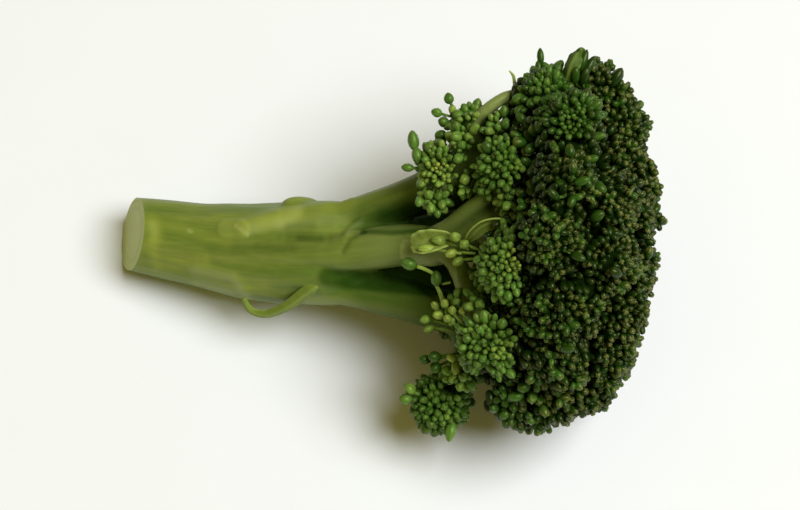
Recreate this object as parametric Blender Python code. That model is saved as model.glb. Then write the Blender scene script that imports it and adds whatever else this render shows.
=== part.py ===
"""A cut head of broccoli lying on its side: stalk, branches, florets and small leaves.

The head is drawn in its own frame, in millimetres: x runs along the stalk from the cut
end to the crown, y runs across the head, and z points out through the side that ends up
on top. An empty then rolls and turns all of it into the way the head rests.
"""
import math

import bmesh
import bpy
from mathutils import Matrix, Vector

# ------------------------------------------------------------------ driving dimensions
MM = 0.001
GAP = 0.4                    # clearance between neighbouring pieces
ROLL = math.radians(24)      # the head rests rolled this far on its rounded side
TURN = math.radians(8)       # and turned so that the stalk runs along +X
REST_AT = (5.41, -7.06, 40.24)    # where the drawing's origin ends up, above the floor

STALK_RISE = 0.32            # the stalk climbs this much per millimetre along x
STALK_BASE = (-67.2, -35.3)  # x and z of a point on the stalk's axis
STALK_FLAT = 0.94            # depth of the stalk's section beside its width
# x, y and half width of the stalk from below the cut to where it forks
STALK_STATIONS = ((-84, 6.6, 9.0), (-70, 5.6, 9.5), (-59.5, 3.9, 10.3), (-51.5, 2.6, 10.8),
                  (-40, 1.0, 12.2), (-29, 0.4, 13.1), (-17.5, 0.4, 13.4))
CUT_AT = (-69.4, 5.5, -36.0)    # the middle of the cut face
CUT_FACES = (-0.94, 0.12, 0.32)   # the knife went through at a slant: the face looks this way

BRANCH_RING = 8.3            # the branches leave the stalk this far from its axis
BRANCH_RADIUS = 4.6
CORE_RADIUS = 3.1
BRANCH_TAPER = 0.42          # the share of its radius that a branch loses on the way
BRANCHLET_RADIUS = (2.3, 1.7)   # at the fork and under the floret
FLORET_BASE = 0.42           # a floret is open behind its middle by this share of its radius

STALK_GREEN = (0.17, 0.24, 0.04)
BRANCH_GREEN = (0.13, 0.20, 0.035)
FLORET_GREEN = (0.022, 0.075, 0.012)
YOUNG_GREEN = (0.07, 0.16, 0.02)
LEAF_GREEN = (0.20, 0.31, 0.07)

# Each branch: the angle round the stalk at which it leaves, and the points it passes.
BRANCHES = {
    "upper": (18, ((0, 13.5, -12), (14, 20.5, -5), (28, 27, 2), (37, 31, 5))),
    "middle": (90, ((1, 2.5, -5), (12, 2.5, 0), (23, 8.5, 5), (35, 12, 10))),
    "lower": (162, ((0, -11, -13.5), (12, -15, -8), (26, -20, 0), (37, -23, 4))),
    "back_upper": (-54, ((0, 10, -24), (14, 15, -20), (28, 22, -15), (38, 26, -12))),
    "back_lower": (-126, ((0, -6, -24.5), (14, -10, -19), (28, -16, -14), (38, -19, -11))),
    "core": (None, ((4, 1, -13), (24, 1, -7), (42, 1, -4))),
}

# Each floret: its branch, then x, y, z and radius of the dome it fills.
FLORETS = (
    ("upper", 10, 22, 3, 7.5), ("upper", 18, 33, 2, 6.5), ("upper", 26, 22, 13, 8.0),
    ("upper", 35.5, 38.5, 8, 8.5), ("upper", 42, 32, 19, 9.5), ("upper", 48, 41, 0, 9.0),
    ("upper", 55, 32, 1, 9.0),
    ("middle", 22, -22, 13, 9.5), ("middle", 26, -2, 20, 9.0), ("middle", 41, 18, 26, 9.0),
    ("middle", 55, 21, 6, 8.5), ("middle", 51, 13, 20, 9.0), ("middle", 57, 9, 8, 8.5),
    ("middle", 37, 4, 29, 9.0), ("middle", 50, -2, 23, 9.0), ("middle", 56, -4, 11, 8.5),
    ("lower", 10, -37, -8, 9.5), ("lower", 40, -14, 25, 9.0), ("lower", 53, -14, 14, 9.0),
    ("lower", 50, -24, 10, 9.0), ("lower", 38, -26, 19, 9.0), ("lower", 29, -36, 5, 9.0),
    ("lower", 38, -35, 8, 9.0), ("lower", 46, -33, 4, 8.0),
    ("back_upper", 19, 25, -17, 8.5), ("back_upper", 37, 38, -12, 9.0),
    ("back_upper", 26, 21, -26, 9.5), ("back_upper", 47, 34, -15, 9.5),
    ("back_upper", 41, 21, -27, 9.5), ("back_upper", 54, 23, -12, 9.5),
    ("back_upper", 40, 4, -36, 9.6), ("back_upper", 24, 7, -33, 8.5),
    ("back_lower", 14, -15, -27, 8.5), ("back_lower", 27, -28, -20, 8.5),
    ("back_lower", 40, -32, -20, 9.4), ("back_lower", 31, -13, -29, 8.0),
    ("back_lower", 46, -14, -25, 9.0), ("back_lower", 33, -38, -7, 8.5),
    ("back_lower", 49, -27, -9, 9.5),
    ("core", 56, 9, -9, 9.5), ("core", 55, -10, -7, 9.5), ("core", 51, 3, -22, 9.5),
    ("core", 55.5, 2.5, 1, 9.0),
)
YOUNG_FLORETS = 2            # the first florets of the upper, middle and lower branches are paler

# Each leaf: the points it passes, its half widths on the way, its half thickness, and the
# direction its face looks.
LEAVES = {
    "cup_leaf": (((14, 4, 6.2), (10, 3.8, 5.8), (6.5, 3, 4.6), (3.6, 2.4, 2.6)),
                 (0.8, 2.7, 3.0, 1.2), 0.45, (0, 0, 1)),
    "curled_bract": (((17, 5.5, 14), (20, 8.2, 15.5), (23.5, 9.4, 15), (26, 9, 13)),
                     (0.7, 1.2, 1.1, 0.5), 0.4, (0, -0.5, 1)),
    "crest_leaf": (((41.4, 44, 12), (43.4, 46.5, 12), (45.2, 49, 10.5), (46.4, 50.8, 8)),
                   (1.4, 2.9, 2.8, 1.0), 1.1, (0.6, -0.2, 1)),
    "leaf_tip": (((28.0, 41.6, 3), (28.2, 43, 3), (28, 44.4, 3.2), (27.2, 45.6, 3.6)),
                 (0.6, 0.7, 0.6, 0.3), 0.35, (0, 0, 1)),
    "stalk_bract": (((-21.5, -8, -8.8), (-28, -13, -13.6), (-34, -15.6, -19.5),
                     (-38.5, -14, -18.5), (-40, -10.6, -13.9)),
                    (0.8, 1.6, 1.7, 1.4, 0.6), 0.5, (0, -0.6, 0.8)),
}

# The bare stem that arches up beside the upper branch, below its highest floret.
ARCH = ((13.5, 27, -7), (15.5, 31.5, -8.5), (20.5, 35.8, -7.5), (25, 38.8, -2.5), (27.6, 40, 1.5))
ARCH_RADII = (1.6, 1.1)

# The loose sprig: a thin stalk with one bud half way up and one at its tip.
SPRIG = ((10.5, -11.5, -1.5), (9.6, -8.5, 0.5), (9, -6, 1.6), (6.5, -4.6, 2.4), (2.5, -2.6, 2.8))
SPRIG_RADII = (0.6, 0.7, 1.6, 0.55, 0.6, 0.8, 1.7, 0.9)


# ------------------------------------------------------------------ small helpers
def material(name, colour, roughness):
    mat = bpy.data.materials.new(name)
    mat.use_nodes = True
    shader = mat.node_tree.nodes["Principled BSDF"]
    shader.inputs["Base Color"].default_value = (*colour, 1)
    shader.inputs["Roughness"].default_value = roughness
    return mat


def add_object(name, bm, mat, at=(0, 0, 0)):
    """Close off a bmesh drawn in millimetres and hang it on the resting empty."""
    bmesh.ops.recalc_face_normals(bm, faces=bm.faces)
    bmesh.ops.scale(bm, vec=(MM, MM, MM), verts=bm.verts)
    mesh = bpy.data.meshes.new(name)
    bm.to_mesh(mesh)
    bm.free()
    mesh.shade_smooth()
    mesh.set_sharp_from_angle(angle=math.radians(40))
    mesh.materials.append(mat)
    ob = bpy.data.objects.new(name, mesh)
    bpy.context.scene.collection.objects.link(ob)
    ob.parent = rest
    ob.location = Vector(at) * MM
    return ob


def cut(bm, point, normal):
    """Cut away what lies beyond a plane and close the opening."""
    geom = bm.verts[:] + bm.edges[:] + bm.faces[:]
    made = bmesh.ops.bisect_plane(bm, geom=geom, dist=1e-4, plane_co=point,
                                  plane_no=normal, clear_outer=True)
    edges = [e for e in made["geom_cut"] if isinstance(e, bmesh.types.BMEdge)]
    if edges:
        bmesh.ops.contextual_create(bm, geom=edges)


def loft(stations, up, sides):
    """A closed body through rings: each station is a point, a half width and a half height."""
    bm = bmesh.new()
    points = [Vector(p) for p, _, _ in stations]
    rings = []
    for i, (p, wide, high) in enumerate(stations):
        along = (points[min(i + 1, len(points) - 1)] - points[max(i - 1, 0)]).normalized()
        side = Vector(up).cross(along).normalized()
        over = along.cross(side)
        frame = Matrix((side * wide, over * high, along)).transposed().to_4x4()
        frame.translation = Vector(p)
        made = bmesh.ops.create_circle(bm, segments=sides, radius=1, matrix=frame)
        rings.append(list({e for v in made["verts"] for e in v.link_edges}))
    for a, b in zip(rings, rings[1:]):
        bmesh.ops.bridge_loops(bm, edges=a + b)
    for ring in (rings[0], rings[-1]):
        bmesh.ops.contextual_create(bm, geom=ring)
    bmesh.ops.recalc_face_normals(bm, faces=bm.faces)
    return bm


def smooth_path(points, steps):
    """Points on a Catmull-Rom curve through the given ones."""
    p = [Vector(v) for v in points]
    p = [2 * p[0] - p[1]] + p + [2 * p[-1] - p[-2]]
    path = []
    for i in range(1, len(p) - 2):
        for k in range(steps):
            t = k / steps
            a, b, c, d = p[i - 1:i + 3]
            path.append(0.5 * (2 * b + (c - a) * t + (2 * a - 5 * b + 4 * c - d) * t * t
                               + (3 * b - a - 3 * c + d) * t ** 3))
    return path + [p[-2]]


def axis_point(x, y=0.0):
    """A point on the stalk's axis."""
    return Vector((x, y, STALK_BASE[1] + STALK_RISE * (x - STALK_BASE[0])))


ALONG = Vector((1, 0, STALK_RISE)).normalized()
OUT = Vector((-ALONG.z, 0, ALONG.x))       # square to the stalk, towards the top side


# ------------------------------------------------------------------ stalk and branches
def make_stalk(mat):
    stations = [(axis_point(x, y), w, w * STALK_FLAT) for x, y, w in STALK_STATIONS]
    bm = loft(stations, OUT, 20)
    cut(bm, Vector(CUT_AT), Vector(CUT_FACES))
    cut(bm, floor_point, -floor_up)
    return add_object("stalk", bm, mat)


def branch_path(name):
    angle, via = BRANCHES[name]
    start = axis_point(STALK_STATIONS[-1][0], STALK_STATIONS[-1][1]) + ALONG * (GAP + 0.1)
    if angle is not None:
        turn = math.radians(angle)
        start += BRANCH_RING * (Vector((0, math.cos(turn), 0)) + OUT * math.sin(turn))
    return [start] + smooth_path([start + ALONG * 4, *via], 3)


def branch_stations(name):
    """The branch's points with its radius there, which shrinks towards the crown."""
    path = branch_path(name)
    thick = CORE_RADIUS if BRANCHES[name][0] is None else BRANCH_RADIUS
    radii = [thick * (1 - BRANCH_TAPER * i / (len(path) - 1)) for i in range(len(path))]
    return list(zip(path, radii, radii))


def make_branch(name, florets, mat):
    """One branch from the stalk, with a branchlet welded on for each of its florets."""
    path = branch_path(name)
    branch = add_object(name + "_branch", loft(branch_stations(name), OUT, 12), mat)
    for i, (_, centre, radius) in enumerate(florets):
        root, end = branchlet_ends(path, centre, radius)
        bm = loft([(root, BRANCHLET_RADIUS[0], BRANCHLET_RADIUS[0]),
                   (end, BRANCHLET_RADIUS[1], BRANCHLET_RADIUS[1])], (0.3, 0.1, 1), 7)
        helper = add_object(f"{name}_branchlet_{i + 1}", bm, mat)
        helper.hide_render = True
        helper.display_type = "WIRE"
        weld = branch.modifiers.new(helper.name, "BOOLEAN")
        weld.operation = "UNION"
        weld.solver = "EXACT"
        weld.object = helper
    return branch


def branchlet_ends(path, centre, radius):
    """Where a branchlet leaves its branch and where it stops under the floret."""
    inner = path[3:-1]
    root = min(inner, key=lambda p: (centre - p).length - 0.45 * (centre - p).dot(ALONG))
    towards = (centre - root).normalized()
    return root, centre - towards * (radius * FLORET_BASE + GAP)


# ------------------------------------------------------------------ florets
def stems_round(florets, skip):
    """Every straight run of stem, as two ends and a radius, but for one floret's own."""
    for name in BRANCHES:
        stations = branch_stations(name)
        for (a, radius, _), (b, _, _) in zip(stations, stations[1:]):
            yield a, b, radius
        for k, (branch, centre, reach) in enumerate(florets):
            if branch == name and k != skip:
                root, end = branchlet_ends(branch_path(name), centre, reach)
                yield root, end, BRANCHLET_RADIUS[0]


def nearest_on(a, b, point):
    """The point nearest to another on the straight run from a to b."""
    run = b - a
    return a + run * max(0.0, min(1.0, (point - a).dot(run) / run.length_squared))


def make_floret(name, index, all_florets, root, mat):
    """A dome, open to its branchlet behind and cut back wherever a neighbour presses on it."""
    _, centre, radius = all_florets[index]
    bm = bmesh.new()
    turned = Matrix.Rotation(index * 2.4, 4, "Z") @ Matrix.Rotation(index * 1.1, 4, "X")
    bmesh.ops.create_icosphere(bm, subdivisions=2, radius=radius, matrix=turned)
    for j, (_, other, reach) in enumerate(all_florets):
        apart = (other - centre).length
        if j == index or apart >= radius + reach + GAP:
            continue
        wall = (apart ** 2 + radius ** 2 - reach ** 2) / (2 * apart) - GAP / 2
        towards = (other - centre) / apart
        cut(bm, towards * wall, towards)
    for a, b, thick in stems_round(all_florets, index):
        stem = nearest_on(a, b, centre) - centre
        if stem.length < radius + thick + GAP:
            cut(bm, stem.normalized() * (stem.length - thick - GAP), stem)
    towards = (centre - root).normalized()
    cut(bm, -towards * radius * FLORET_BASE, -towards)
    cut(bm, floor_point - centre, -floor_up)
    bmesh.ops.remove_doubles(bm, verts=bm.verts, dist=0.08)
    bmesh.ops.dissolve_degenerate(bm, edges=bm.edges, dist=0.05)
    return add_object(name, bm, mat, centre)


# ------------------------------------------------------------------ leaves
def make_leaf(name, points, widths, thick, up, mat):
    """A small leaf or bract: a flat tapering strip along a smooth path."""
    path = smooth_path(points, 3)
    stations = []
    for i, p in enumerate(path):
        place = i / (len(path) - 1) * (len(widths) - 1)
        k = min(int(place), len(widths) - 2)
        wide = widths[k] + (widths[k + 1] - widths[k]) * (place - k)
        stations.append((p, wide, min(thick, wide)))
    return add_object(name, loft(stations, up, 10), mat)


def make_arch(mat):
    path = smooth_path(ARCH, 3)
    stations = []
    for i, p in enumerate(path):
        radius = ARCH_RADII[0] + (ARCH_RADII[1] - ARCH_RADII[0]) * i / (len(path) - 1)
        stations.append((p, radius, radius))
    return add_object("arching_stem", loft(stations, OUT, 8), mat)


def make_sprig(mat):
    """The sprig's thin stalk swells into its two buds."""
    path = smooth_path(SPRIG, 5)
    stations = []
    for i, p in enumerate(path):
        place = i / (len(path) - 1) * (len(SPRIG_RADII) - 1)
        k = min(int(place), len(SPRIG_RADII) - 2)
        radius = SPRIG_RADII[k] + (SPRIG_RADII[k + 1] - SPRIG_RADII[k]) * (place - k)
        stations.append((p, radius, radius))
    return add_object("bud_sprig", loft(stations, (0, 0, 1), 8), mat)


# ------------------------------------------------------------------ the whole head
for old in list(bpy.data.objects):
    bpy.data.objects.remove(old, do_unlink=True)

rest = bpy.data.objects.new("rest", None)
rest.location = Vector(REST_AT) * MM
rest.rotation_euler = (ROLL, 0, TURN)
bpy.context.scene.collection.objects.link(rest)
to_rest = Matrix.Translation(REST_AT) @ Matrix.Rotation(TURN, 4, "Z") @ Matrix.Rotation(ROLL, 4, "X")
floor_up = to_rest.to_3x3().inverted() @ Vector((0, 0, 1))
floor_point = to_rest.inverted() @ Vector((0, 0, 0))

stalk_flesh = material("stalk flesh, waxy green", STALK_GREEN, 0.38)
branch_flesh = material("branch flesh, waxy green", BRANCH_GREEN, 0.42)
dark_buds = material("closed buds, dark green", FLORET_GREEN, 0.5)
young_buds = material("closed buds, young green", YOUNG_GREEN, 0.45)
leaf_flesh = material("leaf, pale green", LEAF_GREEN, 0.35)

make_stalk(stalk_flesh)
florets = [(b, Vector((x, y, z)), r) for b, x, y, z, r in FLORETS]
for branch in BRANCHES:
    own = [f for f in florets if f[0] == branch]
    make_branch(branch, own, branch_flesh)
    path = branch_path(branch)
    for number, floret in enumerate(own):
        root, _ = branchlet_ends(path, floret[1], floret[2])
        young = number < YOUNG_FLORETS and branch in ("upper", "middle", "lower")
        make_floret(f"{branch}_floret_{number + 1}", florets.index(floret), florets, root,
                    young_buds if young else dark_buds)
for name, (points, widths, thick, up) in LEAVES.items():
    make_leaf(name, points, widths, thick, up, leaf_flesh)
make_arch(branch_flesh)
make_sprig(young_buds)
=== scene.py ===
# %% [markdown]
# # A cut head of broccoli, lying on its side
# A head of broccoli is one growth: a waxy stalk forks into branches, the branches fork into
# florets, and every floret is a crowd of closed flower buds on short stems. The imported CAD
# part gives the size and the place of each piece. This script grows the real surfaces
# around it: skin with grain, buds by the thousand, thin leaves and a wet cut face.

import math
import random

import bmesh
import bpy
from mathutils import Matrix, Vector, kdtree, noise


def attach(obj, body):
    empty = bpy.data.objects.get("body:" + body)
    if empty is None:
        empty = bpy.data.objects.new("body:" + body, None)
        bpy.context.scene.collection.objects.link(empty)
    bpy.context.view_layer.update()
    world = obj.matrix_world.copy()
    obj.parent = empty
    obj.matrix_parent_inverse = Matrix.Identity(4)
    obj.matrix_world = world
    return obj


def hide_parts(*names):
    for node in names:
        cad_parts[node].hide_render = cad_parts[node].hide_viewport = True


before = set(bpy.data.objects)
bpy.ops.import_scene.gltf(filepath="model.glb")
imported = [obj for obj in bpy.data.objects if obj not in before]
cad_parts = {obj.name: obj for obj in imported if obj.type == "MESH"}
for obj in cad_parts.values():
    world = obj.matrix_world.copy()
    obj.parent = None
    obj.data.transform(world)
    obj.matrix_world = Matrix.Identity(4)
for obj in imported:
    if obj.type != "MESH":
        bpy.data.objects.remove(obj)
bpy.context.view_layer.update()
print("CAD nodes:", len(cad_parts))

# %% [markdown]
# ## The head's own frame
# It is easiest to think of the head as it grows: x runs along the stalk to the crown, y
# across it, and z out through the side that ends up on top, all in millimetres. One matrix
# rolls it on to its rounded side, turns it and shrinks millimetres to metres, so that each
# finished mesh holds its place in its own vertices.

# %% From the head's frame to the floor
ROLL, TURN, REST_AT = math.radians(24), math.radians(8), Vector((5.41, -7.06, 40.24))
LYING = (Matrix.Translation(REST_AT) @ Matrix.Rotation(TURN, 4, "Z")
         @ Matrix.Rotation(ROLL, 4, "X"))
TO_FLOOR = Matrix.Scale(0.001, 4) @ LYING
FLOOR_UP = (LYING.to_3x3().inverted() @ Vector((0, 0, 1))).normalized()


def height(point):
    """Height above the floor, in millimetres, of a point in the head's frame."""
    return (LYING @ Vector(point)).z


print("the drawing's origin rests", round(height((0, 0, 0)), 1), "mm up")

# %% [markdown]
# ## Two helpers for materials
# Colours are picked as sRGB hex values, and Blender's sockets want linear ones. Node trees
# are built with one small function that adds a node, sets it and links its inputs.

# %% Colour and node helpers
def colour(code):
    """An sRGB hex value as a linear colour."""
    parts = [int(code[i:i + 2], 16) / 255 for i in (1, 3, 5)]
    return tuple(c / 12.92 if c <= 0.04045 else ((c + 0.055) / 1.055) ** 2.4
                 for c in parts) + (1.0,)


def add(tree, kind, inputs=None, **settings):
    """Add a node. An input is given by name or number, as a value or another's output."""
    made = tree.nodes.new("ShaderNode" + kind)
    for name, value in settings.items():
        setattr(made, name, value)
    for name, value in (inputs or {}).items():
        if isinstance(value, bpy.types.NodeSocket):
            tree.links.new(value, made.inputs[name])
        else:
            made.inputs[name].default_value = value
    return made


def new_material(name):
    """A material with its Principled shader, and the tree they sit in."""
    made = bpy.data.materials.new(name)
    made.use_nodes = True
    return made, made.node_tree, made.node_tree.nodes["Principled BSDF"]


MM = 1000.0     # Object coordinates are in metres, so a pattern of size s mm has scale MM / s

# %% [markdown]
# ## Stalk skin
# Broccoli skin is a thin waxy cuticle over juicy green flesh. It was made by growing: cells
# and fibres run lengthwise, so the colour comes in long streaks. The wax gives broad soft
# highlights. The streaks follow the vertex attribute "grain", which is in millimetres and runs
# along each branch, so wide streaks are about 4 mm across and fine ones under 1 mm. A second
# attribute holds how pale, how yellow and how dark each place is. That is partly the skin's
# own tone and partly painted light and shade: ridges are painted paler and yellower as
# highlight, and grooves, forks and the branches under the crown are painted darker as shade.
# Dark grooves see little light, so they shine less.

# %% Stalk skin material
skin, tree, shader = new_material("broccoli stalk skin, waxy cuticle")
grain = add(tree, "Attribute", attribute_name="grain").outputs["Vector"]
tone_and_painted_light = add(tree, "Attribute", attribute_name="tone_and_painted_light").outputs["Vector"]
tone_and_painted_light = add(tree, "SeparateXYZ", {0: tone_and_painted_light})
wide_streaks = add(tree, "TexNoise", {"Vector": grain, "Scale": 0.27, "Detail": 2.0, "Roughness": 0.5})
fine_streaks = add(tree, "TexNoise", {"Vector": grain, "Scale": 1.5, "Detail": 2.0, "Roughness": 0.5})
streak_tint = add(tree, "ValToRGB", {"Fac": wide_streaks.outputs["Fac"]})
ramp = streak_tint.color_ramp
ramp.elements[0].position, ramp.elements[0].color = 0.30, colour("#526A20")
ramp.elements[1].position, ramp.elements[1].color = 0.70, colour("#7B8634")
middle_green = ramp.elements.new(0.5)
middle_green.color = colour("#697A2A")
fine_mix = add(tree, "MapRange", {"Value": fine_streaks.outputs["Fac"], "From Min": 0.3,
                                  "From Max": 0.7, "To Min": 0.9, "To Max": 1.08})
streaked = add(tree, "VectorMath", {0: streak_tint.outputs["Color"],
                                    "Scale": fine_mix.outputs["Result"]}, operation="SCALE")
# pale: the skin's own pale marks, and a painted highlight on the ridges
pale_and_highlight_mix = add(tree, "MixRGB", {"Fac": tone_and_painted_light.outputs["X"], "Color1": streaked.outputs["Vector"],
                             "Color2": colour("#939C58")})
yellower = add(tree, "MixRGB", {"Fac": tone_and_painted_light.outputs["Y"], "Color1": pale_and_highlight_mix.outputs["Color"],
                                "Color2": colour("#A0A83E")})
# painted shade: grooves, forks and the stems under the crown are mixed towards dark green
painted_shade_mix = add(tree, "MixRGB", {"Fac": tone_and_painted_light.outputs["Z"], "Color1": yellower.outputs["Color"],
                              "Color2": colour("#2A430F")})
tree.links.new(painted_shade_mix.outputs["Color"], shader.inputs["Base Color"])
skin_bump = add(tree, "Bump", {"Height": fine_streaks.outputs["Fac"], "Strength": 0.25,
                               "Distance": 0.0002})
tree.links.new(skin_bump.outputs["Normal"], shader.inputs["Normal"])
skin_gloss = add(tree, "MapRange", {"Value": wide_streaks.outputs["Fac"], "From Min": 0.3,
                                    "From Max": 0.7, "To Min": 0.36, "To Max": 0.48})
tree.links.new(skin_gloss.outputs["Result"], shader.inputs["Roughness"])
groove_dull = add(tree, "MapRange", {"Value": tone_and_painted_light.outputs["Z"], "From Min": 0.25, "From Max": 0.75,
                                     "To Min": 0.34, "To Max": 0.04})
tree.links.new(groove_dull.outputs["Result"], shader.inputs["Specular IOR Level"])
shader.inputs["IOR"].default_value = 1.42
shader.inputs["Specular Tint"].default_value = (0.85, 0.92, 0.55, 1)      # the wax is greenish
print("made", skin.name)

# %% [markdown]
# ## Cut face
# The knife leaves wet pale pith inside a ring of fibre bundles and a thin rim of skin. The
# attribute "ring" is 0 in the middle and 1 at the rim. Pith is nearly matt, since the cut
# cells scatter light, with a little shine where it is wet. Real cells are too fine to show,
# so they are drawn coarse, 0.9 mm across.

# %% Cut face material
pith, tree, shader = new_material("broccoli pith, knife cut and drying")
ring = add(tree, "Attribute", attribute_name="ring").outputs["Fac"]
place = add(tree, "TexCoord").outputs["Object"]
cells = add(tree, "TexVoronoi", {"Vector": place, "Scale": MM / 0.9, "Randomness": 1.0})
blotches = add(tree, "TexNoise", {"Vector": place, "Scale": MM / 4.0, "Detail": 4.0})
ring_tint = add(tree, "ValToRGB", {"Fac": ring})
ramp = ring_tint.color_ramp
ramp.elements[0].position, ramp.elements[0].color = 0.0, colour("#CFD88C")
ramp.elements[1].position, ramp.elements[1].color = 1.0, colour("#D6DBA0")
for stop, code in ((0.62, "#C8D286"), (0.74, "#AEBA6E"), (0.84, "#C4CF84"), (0.93, "#AFBE68")):
    ramp.elements.new(stop).color = colour(code)
cell_mix = add(tree, "MapRange", {"Value": cells.outputs["Distance"], "From Min": 0.0,
                                  "From Max": 0.6, "To Min": 1.06, "To Max": 0.9})
celled = add(tree, "VectorMath", {0: ring_tint.outputs["Color"],
                                  "Scale": cell_mix.outputs["Result"]}, operation="SCALE")
blotched = add(tree, "MixRGB", {"Fac": blotches.outputs["Fac"], "Color1": celled.outputs["Vector"],
                                "Color2": colour("#BCC47A")})
tree.links.new(blotched.outputs["Color"], shader.inputs["Base Color"])
cut_bump = add(tree, "Bump", {"Height": cells.outputs["Distance"], "Strength": 0.2,
                              "Distance": 0.0002})
tree.links.new(cut_bump.outputs["Normal"], shader.inputs["Normal"])
cut_gloss = add(tree, "MapRange", {"Value": blotches.outputs["Fac"], "To Min": 0.62, "To Max": 0.45})
tree.links.new(cut_gloss.outputs["Result"], shader.inputs["Roughness"])
shader.inputs["Specular IOR Level"].default_value = 0.25
print("made", pith.name)

# %% [markdown]
# ## Closed buds
# A bud is four green sepals folded shut, with a bloom of wax. Young buds in the middle of a
# floret are small and yellow-green, ripe ones are deep green, and on the crown their tips
# turn olive. Each bud carries "place", the spot on the bud itself, and "kind": how bright
# it is, how ripe it is, and how olive its tip is. Brightness differs at random from bud to
# bud, and in the crown's creases and gaps the buds are made darker and riper as painted
# shade. The seams between the sepals lie where x and y are equally far out. They are drawn
# dark, and the olive stays on the sepals. One material then gives thousands of different
# buds, each with a small soft glint.

# %% Bud material
bud_skin, tree, shader = new_material("closed buds, waxy sepals")
spot = add(tree, "Attribute", attribute_name="place").outputs["Vector"]
on_bud = add(tree, "SeparateXYZ", {0: spot})
kind = add(tree, "SeparateXYZ", {0: add(tree, "Attribute", attribute_name="kind").outputs["Vector"]})
mottle = add(tree, "TexNoise", {"Vector": add(tree, "TexCoord").outputs["Object"],
                                "Scale": MM / 0.9, "Detail": 2.0})
ripeness = add(tree, "ValToRGB", {"Fac": kind.outputs["Y"]})
ramp = ripeness.color_ramp
ramp.elements[0].position, ramp.elements[0].color = 0.0, colour("#A19C44")
ramp.elements[1].position, ramp.elements[1].color = 1.0, colour("#142A04")
for stop, code in ((0.3, "#879A3C"), (0.55, "#57782A"), (0.78, "#315213")):
    ramp.elements.new(stop).color = colour(code)
shading = add(tree, "MapRange", {"Value": kind.outputs["X"], "To Min": 0.72, "To Max": 1.3})
mottling = add(tree, "MapRange", {"Value": mottle.outputs["Fac"], "From Min": 0.3,
                                  "From Max": 0.7, "To Min": 0.88, "To Max": 1.12})
brightness = add(tree, "Math", {0: shading.outputs["Result"], 1: mottling.outputs["Result"]},
                 operation="MULTIPLY")
shaded = add(tree, "VectorMath", {0: ripeness.outputs["Color"],
                                  "Scale": brightness.outputs["Value"]}, operation="SCALE")
across = add(tree, "Math", {0: on_bud.outputs["X"]}, operation="ABSOLUTE")
over = add(tree, "Math", {0: on_bud.outputs["Y"]}, operation="ABSOLUTE")
apart = add(tree, "Math", {0: across.outputs["Value"], 1: over.outputs["Value"]},
            operation="SUBTRACT")
off_seam = add(tree, "Math", {0: apart.outputs["Value"]}, operation="ABSOLUTE")
tip_reach = add(tree, "MapRange", {"Value": on_bud.outputs["Z"], "From Min": 0.1, "From Max": 0.95},
                interpolation_type="SMOOTHSTEP")
on_sepal = add(tree, "MapRange", {"Value": off_seam.outputs["Value"], "From Min": 0.0,
                                  "From Max": 0.35, "To Min": 0.3, "To Max": 1.2})
tip_part = add(tree, "Math", {0: tip_reach.outputs["Result"], 1: on_sepal.outputs["Result"]},
               operation="MULTIPLY")
tip_mix = add(tree, "Math", {0: tip_part.outputs["Value"], 1: kind.outputs["Z"]},
              operation="MULTIPLY", use_clamp=True)
tipped = add(tree, "MixRGB", {"Fac": tip_mix.outputs["Value"], "Color1": shaded.outputs["Vector"],
                              "Color2": colour("#6B6A2E")})
seam = add(tree, "MapRange", {"Value": off_seam.outputs["Value"], "From Min": 0.0,
                              "From Max": 0.22, "To Min": 0.42, "To Max": 0.0},
           interpolation_type="SMOOTHSTEP")
seamed = add(tree, "MixRGB", {"Fac": seam.outputs["Result"], "Color1": tipped.outputs["Color"],
                              "Color2": colour("#162806")})
tree.links.new(seamed.outputs["Color"], shader.inputs["Base Color"])
bud_gloss = add(tree, "MapRange", {"Value": mottle.outputs["Fac"], "To Min": 0.24, "To Max": 0.42})
tree.links.new(bud_gloss.outputs["Result"], shader.inputs["Roughness"])
shader.inputs["Specular IOR Level"].default_value = 0.38
shader.inputs["Specular Tint"].default_value = (0.85, 1.0, 0.45, 1)
bud_bump = add(tree, "Bump", {"Height": mottle.outputs["Fac"], "Strength": 0.2, "Distance": 0.0001})
tree.links.new(bud_bump.outputs["Normal"], shader.inputs["Normal"])
shader.inputs["IOR"].default_value = 1.45
print("made", bud_skin.name)

# %% [markdown]
# ## Bud stems
# The short stems under the buds are smooth and paler than the buds, and get little light
# between them. Their "kind" says how ripe they are: young florets have light stems, and the
# crown's are painted nearly black, as painted shade deep between its buds. The floret hearts
# use the same dark end. They have no mirror shine, since glints between the buds would
# flatten the gaps.

# %% Bud stem material
stem_skin, tree, shader = new_material("bud stems, smooth green")
kind = add(tree, "SeparateXYZ", {0: add(tree, "Attribute", attribute_name="kind").outputs["Vector"]})
fibres = add(tree, "TexNoise", {"Vector": add(tree, "TexCoord").outputs["Object"],
                                "Scale": MM / 1.4, "Detail": 2.0})
stem_tint_and_shade = add(tree, "ValToRGB", {"Fac": kind.outputs["Y"]})
stem_tint_and_shade.color_ramp.elements[0].color = colour("#93A94A")
# the darkest end is painted shade, for stems and hearts deep inside the crown
stem_tint_and_shade.color_ramp.elements[1].color = colour("#101D05")
stem_tint_and_shade.color_ramp.elements.new(0.6).color = colour("#456524")
fibre_mix = add(tree, "MapRange", {"Value": fibres.outputs["Fac"], "To Min": 0.75, "To Max": 1.25})
fibred = add(tree, "VectorMath", {0: stem_tint_and_shade.outputs["Color"], "Scale": fibre_mix.outputs["Result"]},
             operation="SCALE")
tree.links.new(fibred.outputs["Vector"], shader.inputs["Base Color"])
stem_gloss = add(tree, "MapRange", {"Value": fibres.outputs["Fac"], "To Min": 0.4, "To Max": 0.6})
tree.links.new(stem_gloss.outputs["Result"], shader.inputs["Roughness"])
shader.inputs["Specular IOR Level"].default_value = 0.0
print("made", stem_skin.name)
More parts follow.
